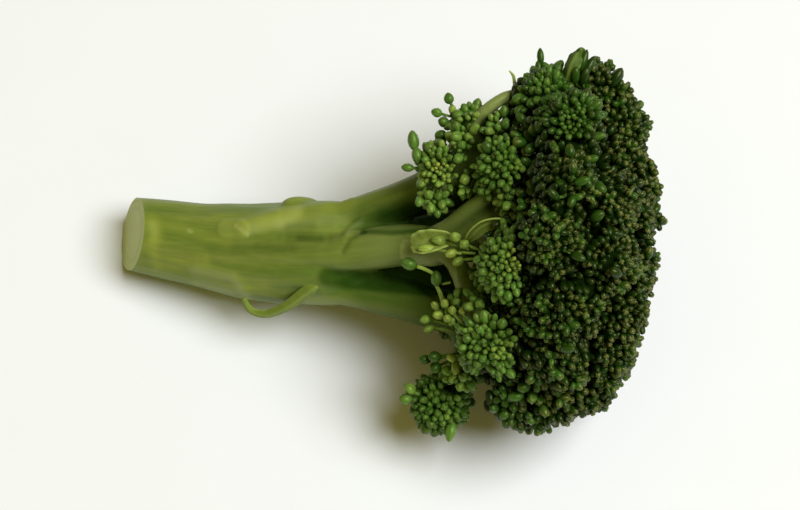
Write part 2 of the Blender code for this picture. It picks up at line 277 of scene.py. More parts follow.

# %% [markdown]
# ## Leaf blades
# The few leaves are young ones that stayed in the head: thin, with a soft waxy face and a
# pale midrib. Their edges are painted paler, a painted highlight where they catch the light.
# "rib" is 0 at the midrib and 1 at the edge, and "kind" says how dark the whole blade is.

# %% Leaf material
leaf_skin, tree, shader = new_material("young broccoli leaf, waxy blade")
rib = add(tree, "SeparateXYZ", {0: add(tree, "Attribute", attribute_name="rib").outputs["Vector"]})
kind = add(tree, "SeparateXYZ", {0: add(tree, "Attribute", attribute_name="kind").outputs["Vector"]})
veins = add(tree, "TexNoise", {"Vector": add(tree, "TexCoord").outputs["Object"],
                               "Scale": MM / 1.2, "Detail": 3.0})
blade = add(tree, "ValToRGB", {"Fac": kind.outputs["Y"]})
blade.color_ramp.elements[0].color = colour("#94A44A")
blade.color_ramp.elements[1].color = colour("#26440F")
blade.color_ramp.elements.new(0.5).color = colour("#6C7C2B")
vein_mix = add(tree, "MapRange", {"Value": veins.outputs["Fac"], "To Min": 0.75, "To Max": 1.25})
veined = add(tree, "VectorMath", {0: blade.outputs["Color"], "Scale": vein_mix.outputs["Result"]},
             operation="SCALE")
rib_mix = add(tree, "MapRange", {"Value": rib.outputs["X"], "From Min": 0.0, "From Max": 0.3,
                                 "To Min": 0.45, "To Max": 0.0})
ribbed = add(tree, "MixRGB", {"Fac": rib_mix.outputs["Result"], "Color1": veined.outputs["Vector"],
                              "Color2": colour("#8C9C50")})
# painted highlight: the blade's edges are mixed towards a light yellow-green
edge_highlight_mix = add(tree, "MapRange", {"Value": rib.outputs["X"], "From Min": 0.78, "From Max": 1.0,
                                  "To Min": 0.0, "To Max": 0.6})
edge_highlighted = add(tree, "MixRGB", {"Fac": edge_highlight_mix.outputs["Result"], "Color1": ribbed.outputs["Color"],
                             "Color2": colour("#A3B35C")})
tree.links.new(edge_highlighted.outputs["Color"], shader.inputs["Base Color"])
leaf_gloss = add(tree, "MapRange", {"Value": veins.outputs["Fac"], "To Min": 0.34, "To Max": 0.5})
tree.links.new(leaf_gloss.outputs["Result"], shader.inputs["Roughness"])
shader.inputs["Specular IOR Level"].default_value = 0.15
shader.inputs["Specular Tint"].default_value = (0.85, 1.0, 0.5, 1)
leaf_bump = add(tree, "Bump", {"Height": veins.outputs["Fac"], "Strength": 0.3, "Distance": 0.0002})
tree.links.new(leaf_bump.outputs["Normal"], shader.inputs["Normal"])
print("made", leaf_skin.name)

# %% [markdown]
# ## The stalk's plan
# The same driving numbers as the CAD part: the stalk's stations, the branches with the
# points they pass, and the florets with the domes they fill. The CAD stalk stops where it
# forks, and the real one runs on as a fleshy web between the branches, so it gets a few
# more stations that shrink away inside them.

# %% Driving numbers
STALK_RISE, STALK_BASE, STALK_FLAT = 0.32, (-67.2, -35.3), 0.94
STALK_STATIONS = ((-84, 6.6, 9.0), (-70, 5.6, 9.5), (-59.5, 3.9, 10.3), (-51.5, 2.6, 10.8),
                  (-40, 1.0, 12.2), (-29, 0.4, 13.1), (-17.5, 0.4, 13.4))
FORK_WEB = ((-12, 1.6, 12.3), (-6, 3.2, 9.0), (0, 4.6, 5.6), (5, 5.6, 2.6))
CUT_AT, CUT_FACES = Vector((-69.4, 5.5, -36.0)), Vector((-0.94, 0.12, 0.32))
BRANCH_RING, BRANCH_RADIUS, CORE_RADIUS, BRANCH_TAPER = 8.3, 4.6, 3.1, 0.42
BRANCHLET_RADIUS, FLORET_BASE, GAP = (2.3, 1.7), 0.42, 0.4
BRANCHES = {
    "upper": (18, ((0, 13.5, -12), (14, 20.5, -5), (28, 27, 2), (37, 31, 5))),
    "middle": (90, ((1, 2.5, -5), (12, 2.5, 0), (23, 8.5, 5), (35, 12, 10))),
    "lower": (162, ((0, -11, -13.5), (12, -15, -8), (26, -20, 0), (37, -23, 4))),
    "back_upper": (-54, ((0, 10, -24), (14, 15, -20), (28, 22, -15), (38, 26, -12))),
    "back_lower": (-126, ((0, -6, -24.5), (14, -10, -19), (28, -16, -14), (38, -19, -11))),
    "core": (None, ((4, 1, -13), (24, 1, -7), (42, 1, -4))),
}
FLORETS = (
    ("upper", 10, 22, 3, 7.5), ("upper", 18, 33, 2, 6.5), ("upper", 26, 22, 13, 8.0),
    ("upper", 35.5, 38.5, 8, 8.5), ("upper", 42, 32, 19, 9.5), ("upper", 48, 41, 0, 9.0),
    ("upper", 55, 32, 1, 9.0),
    ("middle", 22, -22, 13, 9.5), ("middle", 26, -2, 20, 9.0), ("middle", 41, 18, 26, 9.0),
    ("middle", 55, 21, 6, 8.5), ("middle", 51, 13, 20, 9.0), ("middle", 57, 9, 8, 8.5),
    ("middle", 37, 4, 29, 9.0), ("middle", 50, -2, 23, 9.0), ("middle", 56, -4, 11, 8.5),
    ("lower", 10, -37, -8, 9.5), ("lower", 40, -14, 25, 9.0), ("lower", 53, -14, 14, 9.0),
    ("lower", 50, -24, 10, 9.0), ("lower", 38, -26, 19, 9.0), ("lower", 29, -36, 5, 9.0),
    ("lower", 38, -35, 8, 9.0), ("lower", 46, -33, 4, 8.0),
    ("back_upper", 19, 25, -17, 8.5), ("back_upper", 37, 38, -12, 9.0),
    ("back_upper", 26, 21, -26, 9.5), ("back_upper", 47, 34, -15, 9.5),
    ("back_upper", 41, 21, -27, 9.5), ("back_upper", 54, 23, -12, 9.5),
    ("back_upper", 40, 4, -36, 9.6), ("back_upper", 24, 7, -33, 8.5),
    ("back_lower", 14, -15, -27, 8.5), ("back_lower", 27, -28, -20, 8.5),
    ("back_lower", 40, -32, -20, 9.4), ("back_lower", 31, -13, -29, 8.0),
    ("back_lower", 46, -14, -25, 9.0), ("back_lower", 33, -38, -7, 8.5),
    ("back_lower", 49, -27, -9, 9.5),
    ("core", 56, 9, -9, 9.5), ("core", 55, -10, -7, 9.5), ("core", 51, 3, -22, 9.5),
    ("core", 55.5, 2.5, 1, 9.0),
)
ALONG = Vector((1, 0, STALK_RISE)).normalized()
OUT = Vector((-ALONG.z, 0, ALONG.x))
print("branches:", len(BRANCHES), "florets:", len(FLORETS))

# %% [markdown]
# ## Paths
# Every branch follows a smooth curve through a few points. A branch starts on a ring inside
# the stalk's end, and its branchlets leave it where they have the shortest forward way to
# their floret.

# %% Path helpers
def smooth_path(points, steps):
    """Points on a Catmull-Rom curve through the given ones."""
    p = [Vector(v) for v in points]
    p = [2 * p[0] - p[1]] + p + [2 * p[-1] - p[-2]]
    path = []
    for i in range(1, len(p) - 2):
        for k in range(steps):
            t = k / steps
            a, b, c, d = p[i - 1:i + 3]
            path.append(0.5 * (2 * b + (c - a) * t + (2 * a - 5 * b + 4 * c - d) * t * t
                               + (3 * b - a - 3 * c + d) * t ** 3))
    return path + [p[-2]]


def axis_point(x, y=0.0):
    """A point on the stalk's axis."""
    return Vector((x, y, STALK_BASE[1] + STALK_RISE * (x - STALK_BASE[0])))


def branch_path(name):
    """A branch's points, from inside the stalk's end."""
    angle, via = BRANCHES[name]
    start = axis_point(STALK_STATIONS[-1][0], STALK_STATIONS[-1][1]) + ALONG * (GAP + 0.1)
    if angle is not None:
        turn = math.radians(angle)
        start += BRANCH_RING * (Vector((0, math.cos(turn), 0)) + OUT * math.sin(turn))
    return [start] + smooth_path([start + ALONG * 4, *via], 3)


def branchlet_ends(path, centre, radius):
    """Where a branchlet leaves its branch and where it meets the floret."""
    root = min(path[3:-1], key=lambda p: (centre - p).length - 0.45 * (centre - p).dot(ALONG))
    return root, centre - (centre - root).normalized() * radius * FLORET_BASE


def between(values, share):
    """The value at a share of the way along a list of values."""
    place = max(0.0, min(1.0, share)) * (len(values) - 1)
    k = min(int(place), len(values) - 2)
    return values[k] + (values[k + 1] - values[k]) * (place - k)


def ramp_up(low, high, value):
    """A smooth step from 0 to 1."""
    t = max(0.0, min(1.0, (value - low) / (high - low)))
    return t * t * (3 - 2 * t)

# %% [markdown]
# ## Fleshy stems as one skin
# The stalk, the branches and their forks flow into each other without a seam. So each is
# first made as a simple closed tube, the tubes are left overlapping, and a voxel Remesh
# modifier turns the lot into one skin, which a Smooth modifier relaxes at the forks. Stems
# that no floret explains get their own curved paths: the bare one that arches up, two forks
# at the front and two that show deep between the branches. Ribs run from each branch back
# down the stalk, where they make its long ridges. Rib and branch have one radius where they
# meet, so that no step shows.

# %% Tubes for the stalk and branches
def tube(bm, stations, sides=18, flat=1.0):
    """A closed tube: each station is a point on its way and the radius there."""
    points = [Vector(p) for p, _ in stations]
    rings = []
    for i, (p, radius) in enumerate(stations):
        along = (points[min(i + 1, len(points) - 1)] - points[max(i - 1, 0)]).normalized()
        side = OUT.cross(along).normalized()
        over = along.cross(side)
        turn = Matrix((side * radius, over * radius * flat, along)).transposed().to_4x4()
        turn.translation = p
        made = bmesh.ops.create_circle(bm, segments=sides, radius=1, matrix=turn)
        rings.append(list({e for v in made["verts"] for e in v.link_edges}))
    for a, b in zip(rings, rings[1:]):
        bmesh.ops.bridge_loops(bm, edges=a + b)
    for end in (rings[0], rings[-1]):
        bmesh.ops.contextual_create(bm, geom=end)


def stations_on(path, radii):
    """A path with a radius for each of its points."""
    return [(p, between(radii, i / (len(path) - 1))) for i, p in enumerate(path)]


stalk_stations = [(axis_point(x, y), w) for x, y, w in STALK_STATIONS + FORK_WEB]
stem_runs = {"stalk": stalk_stations}
RIB_RADIUS = 5.2
BRANCH_SHARES = (1.06, 0.95, 0.83, 0.58)                   # how a branch thins out
FLESHY = {"middle": 1.12, "lower": 1.1, "upper": 1.05}     # the front branches are plumper
for name in BRANCHES:
    path = branch_path(name)
    thick = CORE_RADIUS if name == "core" else BRANCH_RADIUS
    thick *= FLESHY.get(name, 1.0)
    first = CORE_RADIUS if name == "core" else RIB_RADIUS
    radii = [first] + [thick * share for share in BRANCH_SHARES]
    stem_runs[name] = stations_on(path, radii)
    own = [f for f in FLORETS if f[0] == name]
    for n, (_, x, y, z, radius) in enumerate(own):
        root, end = branchlet_ends(path, Vector((x, y, z)), radius)
        bend = (root + end) / 2 + ALONG * 0.8
        if x > 35 and z > 5:
            bend.z -= 3.5                # under the crown the stems stay deep
        if (name, n) == ("lower", 0):    # the lowest floret bends away on a stem of its own
            root, bend = Vector((14, -16, -7.5)), Vector((15.2, -25, -7.5))
        stem_runs[f"{name} {n + 1}"] = stations_on(smooth_path((root, bend, end), 4),
                                                   (2.5, BRANCHLET_RADIUS[0], BRANCHLET_RADIUS[1]))
FREE_STEMS = {      # points passed, radii, and the stem that it leaves
    "arch": (((9, 19, -8), (13.5, 26.5, -4), (17, 31, 2), (21, 35.4, 5.5), (25.5, 38.6, 5.5),
              (28.5, 40, 3)), (2.1, 1.9, 1.7, 1.6, 1.6, 1.3), "upper"),
    "climbing fork": (((6, 3.4, -1), (12, 7.0, 3.5), (17, 11.0, 6.5), (21.5, 14.4, 9), (27, 18, 13)),
                      (2.6, 2.2, 2.2, 2.0, 1.6), "middle"),
    "drooping fork": (((5, 1, -1), (11.5, -0.5, 2.2), (14.3, -5.5, 3.6), (16.3, -11.5, 5.5),
                       (19, -17, 8)), (2.4, 1.9, 1.6, 1.7, 1.6), "middle"),
    "inner upper": (((-4, 4, -17), (8, 7, -14.5), (18, 9, -11), (30, 12, -5)),
                    (3.4, 3.4, 3.2, 2.4), "core"),
    "inner lower": (((-4, -4, -17), (8, -5, -14.5), (18, -7, -11), (30, -10, -5)),
                    (3.4, 3.4, 3.2, 2.4), "core"),
}
for name, (points, radii, _) in FREE_STEMS.items():
    stem_runs[name] = stations_on(smooth_path(points, 4), radii)
print("runs of stem:", len(stem_runs))

# %% Ribs down the stalk
RIB_FROM, RIB_TO, RIB_STEPS = -52, STALK_STATIONS[-1][0], 8
for name, (angle, _) in BRANCHES.items():
    if angle is None:
        continue
    turn = math.radians(angle)
    way = Vector((0, math.cos(turn), 0)) + OUT * math.sin(turn)
    rib_stations = []
    for k in range(RIB_STEPS + 1):
        x = RIB_FROM + (RIB_TO - RIB_FROM) * k / RIB_STEPS
        near = [s for s in STALK_STATIONS if s[0] <= x][-1]
        after = [s for s in STALK_STATIONS if s[0] >= x][0]
        share = (x - near[0]) / max(after[0] - near[0], 1e-6)
        y, wide = near[1] + (after[1] - near[1]) * share, near[2] + (after[2] - near[2]) * share
        proud = -1.2 + 1.7 * ramp_up(0, RIB_STEPS, k)      # it rises out of the stalk
        rib_stations.append((axis_point(x, y) + way * (wide * 0.97 + proud - RIB_RADIUS), RIB_RADIUS))
    stem_runs["rib " + name] = rib_stations
print("with ribs:", len(stem_runs))

# %% One skin from the tubes
def show(name, mesh, materials):
    """An object at the origin for a finished mesh."""
    for made in materials:
        mesh.materials.append(made)
    ob = bpy.data.objects.new(name, mesh)
    bpy.context.scene.collection.objects.link(ob)
    return ob


def mesh_of(bm, name):
    """The mesh of a finished bmesh, which is freed."""
    mesh = bpy.data.meshes.new(name)
    bm.to_mesh(mesh)
    bm.free()
    return mesh


def baked(ob):
    """A plain mesh of an object with its modifiers carried out. The object goes."""
    bpy.context.view_layer.update()
    result = ob.evaluated_get(bpy.context.evaluated_depsgraph_get())
    mesh = bpy.data.meshes.new_from_object(result)
    bpy.data.objects.remove(ob, do_unlink=True)
    return mesh


bm = bmesh.new()
for name, stations in stem_runs.items():
    tube(bm, stations, 28 if name == "stalk" else 16, STALK_FLAT if name == "stalk" else 1.0)
sleeping_bud = (Matrix.Translation((-25.5, 12.9, -20.5)) @ Matrix.Rotation(0.3, 4, "Y")
                @ Matrix.Diagonal((4.8, 2.1, 3.0, 1)))
bmesh.ops.create_icosphere(bm, subdivisions=3, radius=1, matrix=sleeping_bud)
bmesh.ops.recalc_face_normals(bm, faces=bm.faces)
growing = show("growing", mesh_of(bm, "tubes"), [])
remesh = growing.modifiers.new("one skin", "REMESH")
remesh.mode, remesh.voxel_size = "VOXEL", 0.56      # still in millimetres
relax = growing.modifiers.new("relax", "SMOOTH")
relax.factor, relax.iterations = 0.5, 6
skin_mesh = baked(growing)
print("one skin:", len(skin_mesh.polygons), "faces")

# %% [markdown]
# ## Marks in the skin
# Old leaves leave scars and raised bases on the stalk, and grooves run into the forks. Each
# mark is a stroke on the side that faces up: a short path in x and y, how far it reaches,
# how far it lifts or sinks the skin, and how hard its edge is. Colour is laid on with
# strokes in the same way, which say what they add: pale, yellow or dark. The scar, the fleck
# and the old leaf base are the skin's own colour. Some of the colour is painted light and
# shade: a painted highlight behind the cut and along the upper ridge, a painted reflection of
# the floor low on the flank, and painted shade in the grooves and where the branches part.

# %% Strokes: lifted and sunken marks, then colour, painted light and shade
RELIEF = (
    (((-44.2, 6.6), (-40.4, 6.4)), 2.8, 0.22, 0.7),             # leaf scar, a raised pad
    (((-41.2, 7.3), (-38.4, 5.3)), 0.8, -0.2, 0.2),             # nick in its edge
    (((-52, -3.2), (-42.5, -5.2), (-39.2, -9.5)), 2.2, 0.35, 0.1),      # rim of an old leaf base
    (((-39, -9.0), (-34, -8.5), (-27, -9.5)), 3.0, -0.4, 0.1),          # hollow inside that base
    (((-14.2, 0.8), (-12.6, 3.8), (-9.2, 5.9)), 1.5, -0.2, 0.1),       # notch of the middle branch
    (((-9.2, 5.9), (-2, 5.6), (8, 6.2)), 1.5, -0.1, 0.1),               # groove above it
    (((-13.2, 5.4), (-9.6, 8.8)), 1.5, 0.35, 0.1),                      # small crest beside the notch
    (((-28.5, 4.6), (-18.5, 4.2)), 2.2, -0.45, 0.0),                     # groove under the upper ridge
    (((-39.5, 7.0), (-25.5, 11.6), (-13, 14)), 3.4, 0.6, 0.1),          # the upper ridge
    (((-48, -1.5), (-30, -2.5), (-18, -3.0)), 2.2, -0.25, 0.1),         # lower groove
    (((-16, -5.6), (-9, -6.4)), 2.6, -0.5, 0.0),                       # where the lower branch parts
)
PALE_AND_HIGHLIGHT, YELLOW, PAINTED_SHADE = 0, 1, 2
TINTS_AND_PAINTED_LIGHT = (
    # behind the cut: yellower skin, and a painted highlight in the pale stroke
    (((-63.8, 8.6), (-62.6, 4.6)), 3.4, YELLOW, 0.5, 0.0),
    (((-63.4, 7.6), (-62.8, 5.6)), 1.9, PALE_AND_HIGHLIGHT, 0.6, 0.0),
    (((-63.5, 3), (-62.5, -3)), 2.6, YELLOW, 0.3, 0.0),
    (((-61, 8), (-52, 5.5), (-44, 3)), 3.2, YELLOW, 0.22, 0.0),
    # the upper ridge: a painted highlight, paler and yellower along its top
    (((-39.5, 7.4), (-32, 9.0), (-26, 10.8)), 3.4, YELLOW, 0.35, 0.0),
    (((-34, 8.6), (-25.5, 11.0), (-14, 12.3)), 4.2, YELLOW, 0.2, 0.0),
    (((-37.5, 6.6), (-30, 8.4), (-26, 10.4)), 2.4, PALE_AND_HIGHLIGHT, 0.65, 0.0),
    (((-30, 7.6), (-22, 8.4), (-14, 9.2)), 2.6, PALE_AND_HIGHLIGHT, 0.35, 0.0),
    # the leaf scar with its nick, and a fleck
    (((-44.2, 6.6), (-40.4, 6.4)), 2.9, PALE_AND_HIGHLIGHT, 0.14, 0.6),
    (((-44.2, 6.6), (-40.4, 6.4)), 2.9, YELLOW, 0.2, 0.6),
    (((-41.2, 7.3), (-38.4, 5.3)), 0.9, PALE_AND_HIGHLIGHT, 1.0, 0.3),
    (((-53.9, 6.3), (-53.2, 5.9)), 0.7, PALE_AND_HIGHLIGHT, 0.8, 0.3),
    # the old leaf base, and a painted reflection of the floor on the flank below it
    (((-53, -3.6), (-42.5, -5.6), (-39.4, -10.4)), 2.0, PALE_AND_HIGHLIGHT, 0.6, 0.0),
    (((-52, -7.5), (-44, -9.5)), 3.6, PALE_AND_HIGHLIGHT, 0.35, 0.0),
    (((-38, -8.6), (-34.5, -8.2)), 3.2, YELLOW, 0.3, 0.0),
    (((-60, -3), (-50, -1.5)), 3.2, YELLOW, 0.2, 0.0),
    # painted shade in the grooves down the stalk and under the upper ridge
    (((-48, 1.4), (-33, 1.8), (-18, 1.6)), 3.0, PAINTED_SHADE, 0.16, 0.0),
    (((-42, 1.7), (-30, 1.8), (-22, 1.7)), 2.4, PAINTED_SHADE, 0.14, 0.0),
    (((-36, 1.8), (-27, 1.7)), 2.2, PAINTED_SHADE, 0.14, 0.0),
    (((-30, 4.7), (-24, 4.5), (-15.0, 4.1)), 2.0, PAINTED_SHADE, 0.3, 0.0),
    (((-25.5, 4.5), (-20, 4.3)), 1.8, PAINTED_SHADE, 0.35, 0.0),
    (((-28, 7), (-22, 7.4)), 1.8, PAINTED_SHADE, 0.2, 0.0),
    # where the branches part: painted shade in the fork, the notch and the gap by the lower branch
    (((-18, 12.6), (-4, 15.5)), 3.2, YELLOW, 0.15, 0.0),
    (((-9, 9.6), (-3, 10), (8, 12)), 4.6, PAINTED_SHADE, 0.35, 0.0),
    (((-4, 10), (8, 12)), 4.4, PAINTED_SHADE, 0.3, 0.0),
    (((-14.2, 0.8), (-12.6, 3.8), (-9.2, 5.9)), 1.1, PAINTED_SHADE, 0.35, 0.0),
    (((-9.2, 5.9), (-2, 5.6), (8, 6.2)), 1.3, PAINTED_SHADE, 0.5, 0.0),
    (((-13.2, 5.4), (-9.6, 8.8)), 1.2, PALE_AND_HIGHLIGHT, 0.5, 0.0),
    (((-18.5, -5.6), (-12.5, -6.3), (-4, -6.8), (8, -7.6)), 3.4, PAINTED_SHADE, 0.75, 0.3),
    (((-24, -11.5), (-12, -13), (0, -14.5), (9, -16)), 2.6, PALE_AND_HIGHLIGHT, 0.4, 0.0),
    # painted shade along the stalk's lower edge behind the cut
    (((-60, -9.5), (-45, -12)), 2.2, PAINTED_SHADE, 0.25, 0.0),
)


def stroke_weight(x, y, path, reach, hard):
    """1 on the stroke and 0 beyond its reach. A hard stroke stays at 1 for longer."""
    best = 1e9
    for (ax, ay), (bx, by) in zip(path, path[1:]):
        run_x, run_y = bx - ax, by - ay
        t = max(0.0, min(1.0, ((x - ax) * run_x + (y - ay) * run_y) / (run_x ** 2 + run_y ** 2)))
        best = min(best, math.hypot(x - ax - run_x * t, y - ay - run_y * t))
    return 1 - ramp_up(hard, 1, best / reach)


def strokes_at(x, y, strokes):
    """The strokes that reach a place, with their weight there."""
    for stroke in strokes:
        path, reach = stroke[0], stroke[1]
        if (min(p[0] for p in path) - reach < x < max(p[0] for p in path) + reach
                and min(p[1] for p in path) - reach < y < max(p[1] for p in path) + reach):
            yield stroke, stroke_weight(x, y, path, reach, stroke[-1])


print("relief strokes:", len(RELIEF), "colour strokes:", len(TINTS_AND_PAINTED_LIGHT))

# %% [markdown]
# ## Grain that follows each branch
# For the streaks, each place on the skin needs to know which run of stem it belongs to, how
# far along it is, and where round it. Points are dropped along every run, and a k-d tree
# finds the nearest. A branch carries on from the stalk's own coordinates, so the streaks
# flow from one into the other.

# %% Sample points along the stems
samples = []      # point, radius, distance along, offset carried on from the stalk, run, way


def sample_run(name, stations, start_along, carried):
    """Drop points every half millimetre along a run of stem."""
    along = start_along
    for (a, wide_a), (b, wide_b) in zip(stations, stations[1:]):
        a, b = Vector(a), Vector(b)
        steps = max(2, int((b - a).length / 0.5))
        for k in range(steps):
            share = k / steps
            samples.append((a.lerp(b, share), wide_a + (wide_b - wide_a) * share,
                            along + (b - a).length * share, carried, name, (b - a).normalized()))
        along += (b - a).length


sample_run("stalk", stalk_stations[:len(STALK_STATIONS) + 1], STALK_STATIONS[0][0] / ALONG.x, Vector())
fork = axis_point(STALK_STATIONS[-1][0], STALK_STATIONS[-1][1])
for name in BRANCHES:
    start = Vector(stem_runs[name][0][0])
    sample_run(name, stem_runs[name], fork.x / ALONG.x, start - fork)
for name, stations in stem_runs.items():
    parent = name.split(" ")[0]
    if parent != name and parent in BRANCHES:
        root = Vector(stations[0][0])
        on = min((s for s in samples if s[4] == parent), key=lambda s: (s[0] - root).length)
        sample_run(name, stations, on[2], on[3] + root - on[0])
for name, (points, _, parent) in FREE_STEMS.items():
    on = min((s for s in samples if s[4] == parent), key=lambda s: (s[0] - Vector(points[0])).length)
    sample_run(name, stem_runs[name], on[2], on[3])
stem_tree = kdtree.KDTree(len(samples))
for i, sample in enumerate(samples):
    stem_tree.insert(sample[0], i)
stem_tree.balance()
print("samples along the stems:", len(samples))

# %% [markdown]
# ## Cutting and finishing the skin
# A slanted knife plane cuts the stalk, which `bisect_plane` does. The hole is filled, and
# rings drawn in from its rim give the face its slightly raised skin edge, the ring of
# fibres and the sunken pith. Then the marks are pressed in, and the attributes are written.
# How far a point stands out from its surroundings is measured by smoothing the skin and
# putting it back: ridges are painted paler as highlight, and grooves darker as shade. Towards
# the fork, the branches under the crown and the stems deep between them are painted darker
# as the crown's shade. Points under the floor are lifted on to it.

# %% Cut the stalk and model the cut face
bm = bmesh.new()
bm.from_mesh(skin_mesh)
bmesh.ops.bisect_plane(bm, geom=bm.verts[:] + bm.edges[:] + bm.faces[:], dist=1e-4,
                       plane_co=CUT_AT, plane_no=CUT_FACES, clear_outer=True)
rim = [e for e in bm.edges if e.is_boundary]
filled = bmesh.ops.edgeloop_fill(bm, edges=rim)["faces"]
face = max(filled, key=lambda f: f.calc_area())
ring_layer = bm.verts.layers.float.new("ring")
rim_verts = set(face.verts)
middle = sum((v.co for v in rim_verts), Vector()) / len(rim_verts)
facing = CUT_FACES.normalized()
RINGS = ((0.975, 0.04), (0.945, -0.06), (0.9, -0.06), (0.84, 0.02), (0.76, 0.06), (0.66, -0.05),
         (0.5, -0.08), (0.3, -0.05), (0.12, 0.0))      # share of the radius, and lift
ring_share = 1.0
cut_verts = {v: 1.0 for v in rim_verts}
for share, lift in RINGS:
    made = bmesh.ops.extrude_face_region(bm, geom=[face])
    bmesh.ops.delete(bm, geom=[face], context="FACES_ONLY")
    face = [g for g in made["geom"] if isinstance(g, bmesh.types.BMFace)][0]
    for v in face.verts:
        wobble = 1 + 0.012 * noise.noise(v.co * 0.6)
        v.co = middle + (v.co - middle) * (share / ring_share) * wobble + facing * lift
        cut_verts[v] = share
    ring_share = share
for v in bmesh.ops.poke(bm, faces=[face])["verts"]:
    cut_verts[v] = 0.0
for v, share in cut_verts.items():
    v[ring_layer] = share
bm.normal_update()
for f in bm.faces:        # pith is what lies on the cut, and the rest is skin
    f.material_index = int(all(v in cut_verts for v in f.verts) and f.normal.dot(facing) > 0.7)
print("rim points:", len(rim_verts))

# %% Press the marks in and write grain and tone
SMOOTH_ROUNDS = 20
GRAIN_STRETCH = 0.11      # streaks are nine times as long as they are wide
grain_layer = bm.verts.layers.float_vector.new("grain")
tone_and_painted_light_layer = bm.verts.layers.float_vector.new("tone_and_painted_light")
bm.normal_update()
before = {v: v.co.copy() for v in bm.verts}
for _ in range(SMOOTH_ROUNDS):
    bmesh.ops.smooth_vert(bm, verts=bm.verts, factor=0.5, use_axis_x=True, use_axis_y=True,
                          use_axis_z=True)
bulge = {v: (before[v] - v.co).dot(v.normal) for v in bm.verts}      # below 0 in grooves
for v in bm.verts:
    v.co = before[v]
bm.normal_update()
PALE_RUNS = {"middle": 0.35, "drooping fork": 0.5, "climbing fork": 0.2, "arch": 0.6}
# painted shade on each run: the branches under the crown and the stems deep inside it; the arch and the
# drooping fork are kept lighter
PAINTED_SHADE_RUNS = {"middle": 0.05, "lower": 0.25, "upper": 0.02, "arch": -0.3, "drooping fork": -0.3,
             "inner upper": 0.5, "inner lower": 0.5, "core": 0.5}
for v in bm.verts:
    _, i, _ = stem_tree.find(v.co)
    point, wide, along, carried, run, way = samples[i]
    offset = v.co - point + carried
    along += (v.co - point).dot(way)
    v[grain_layer] = Vector((along * GRAIN_STRETCH, offset.y, offset.dot(OUT)))
    facing_up = ramp_up(-0.1, 0.45, v.normal.z)
    shown = ramp_up(9, 19, v.co.x) if run == "arch" else ramp_up(-14, -4, v.co.x)
    # pale: the runs' own paler tone, and ridges painted paler as a highlight
    pale = 0.05 + 0.5 * max(0.0, bulge[v]) + PALE_RUNS.get(run, 0.0) * shown
    yellow = 0.25 * max(0.0, bulge[v])
    # dark: painted shade towards the fork and the crown, in the grooves and on shaded runs
    dark = 0.3 * ramp_up(-22, -8, v.co.x) + 0.25 * ramp_up(-8, 14, v.co.x) + 0.8 * max(0.0, -bulge[v])
    dark += PAINTED_SHADE_RUNS.get(run, 0.0) * (shown if run == "arch" else ramp_up(-18, -6, v.co.x))
    layers = [pale, yellow, dark]
    for stroke, weight in strokes_at(v.co.x, v.co.y, TINTS_AND_PAINTED_LIGHT):
        layers[stroke[2]] += stroke[3] * weight * facing_up
    v[tone_and_painted_light_layer] = Vector([max(0.0, min(1.0, t)) for t in layers])
    if v in cut_verts:
        continue
    push = 0.22 * noise.noise(Vector((along * 0.05, offset.y * 0.4, offset.z * 0.4)))
    push += 0.08 * noise.noise(Vector((along * 0.1, offset.y * 1.1, offset.z * 1.1)))
    near_cut = ramp_up(0.2, 3, abs((v.co - CUT_AT).dot(facing)))
    for stroke, weight in strokes_at(v.co.x, v.co.y, RELIEF):
        push += stroke[2] * weight * facing_up
    v.co += v.normal * push * near_cut
for v in bm.verts:
    low = height(v.co)
    if low < 0:
        v.co -= FLOOR_UP * low
for f in bm.faces:
    f.smooth = True
bmesh.ops.recalc_face_normals(bm, faces=bm.faces)
for e in bm.edges:
    if len({f.material_index for f in e.link_faces}) > 1:
        e.smooth = False
bm.transform(TO_FLOOR)
stem_mesh = mesh_of(bm, "stem")
stem = show("stalk_and_branches", stem_mesh, [skin, pith])
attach(stem, "root")
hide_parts("stalk", "arching_stem", *(name + "_branch" for name in BRANCHES))
print("stalk and branches:", len(stem_mesh.polygons), "faces")

# %% [markdown]
# ## Bud and stem templates
# All buds are copies of two small shapes, eggs of 48 faces. A young bud is smooth, with its
# sepals drawn together in a point. On a ripe bud four sepals swell and stand up round a
# sunken tip, which gives the crown its rough grain. The bud stem is a six-sided cone, and a
# plain ball is the dark heart of a floret. Each copy is moved, turned and scaled by one
# matrix, and then gets its "kind".

# %% Templates
def template(bm, name):
    """A small mesh to copy, which remembers where each vertex is on it."""
    place = bm.verts.layers.float_vector.new("place")
    bm.verts.layers.float_vector.new("kind")
    for v in bm.verts:
        v[place] = v.co
    for f in bm.faces:
        f.smooth = True
    return mesh_of(bm, name)


def make_bud(name, lobes, tip, lift):
    """A bud: how far its sepals swell, how far its very tip stands up, and how far they do."""
    bm = bmesh.new()
    bmesh.ops.create_uvsphere(bm, u_segments=8, v_segments=6, radius=1)
    for v in bm.verts:
        sepal = math.cos(4 * math.atan2(v.co.y, v.co.x))
        upper = ramp_up(-0.3, 0.9, v.co.z)
        swell = 1 + (0.05 + lobes * upper) * sepal * (1 - v.co.z ** 4) - 0.1 * upper
        v.co.z += tip * ramp_up(0.9, 1, v.co.z) + lift * sepal * upper * (v.co.z < 0.95)
        v.co.x *= swell
        v.co.y *= swell
    return template(bm, name)


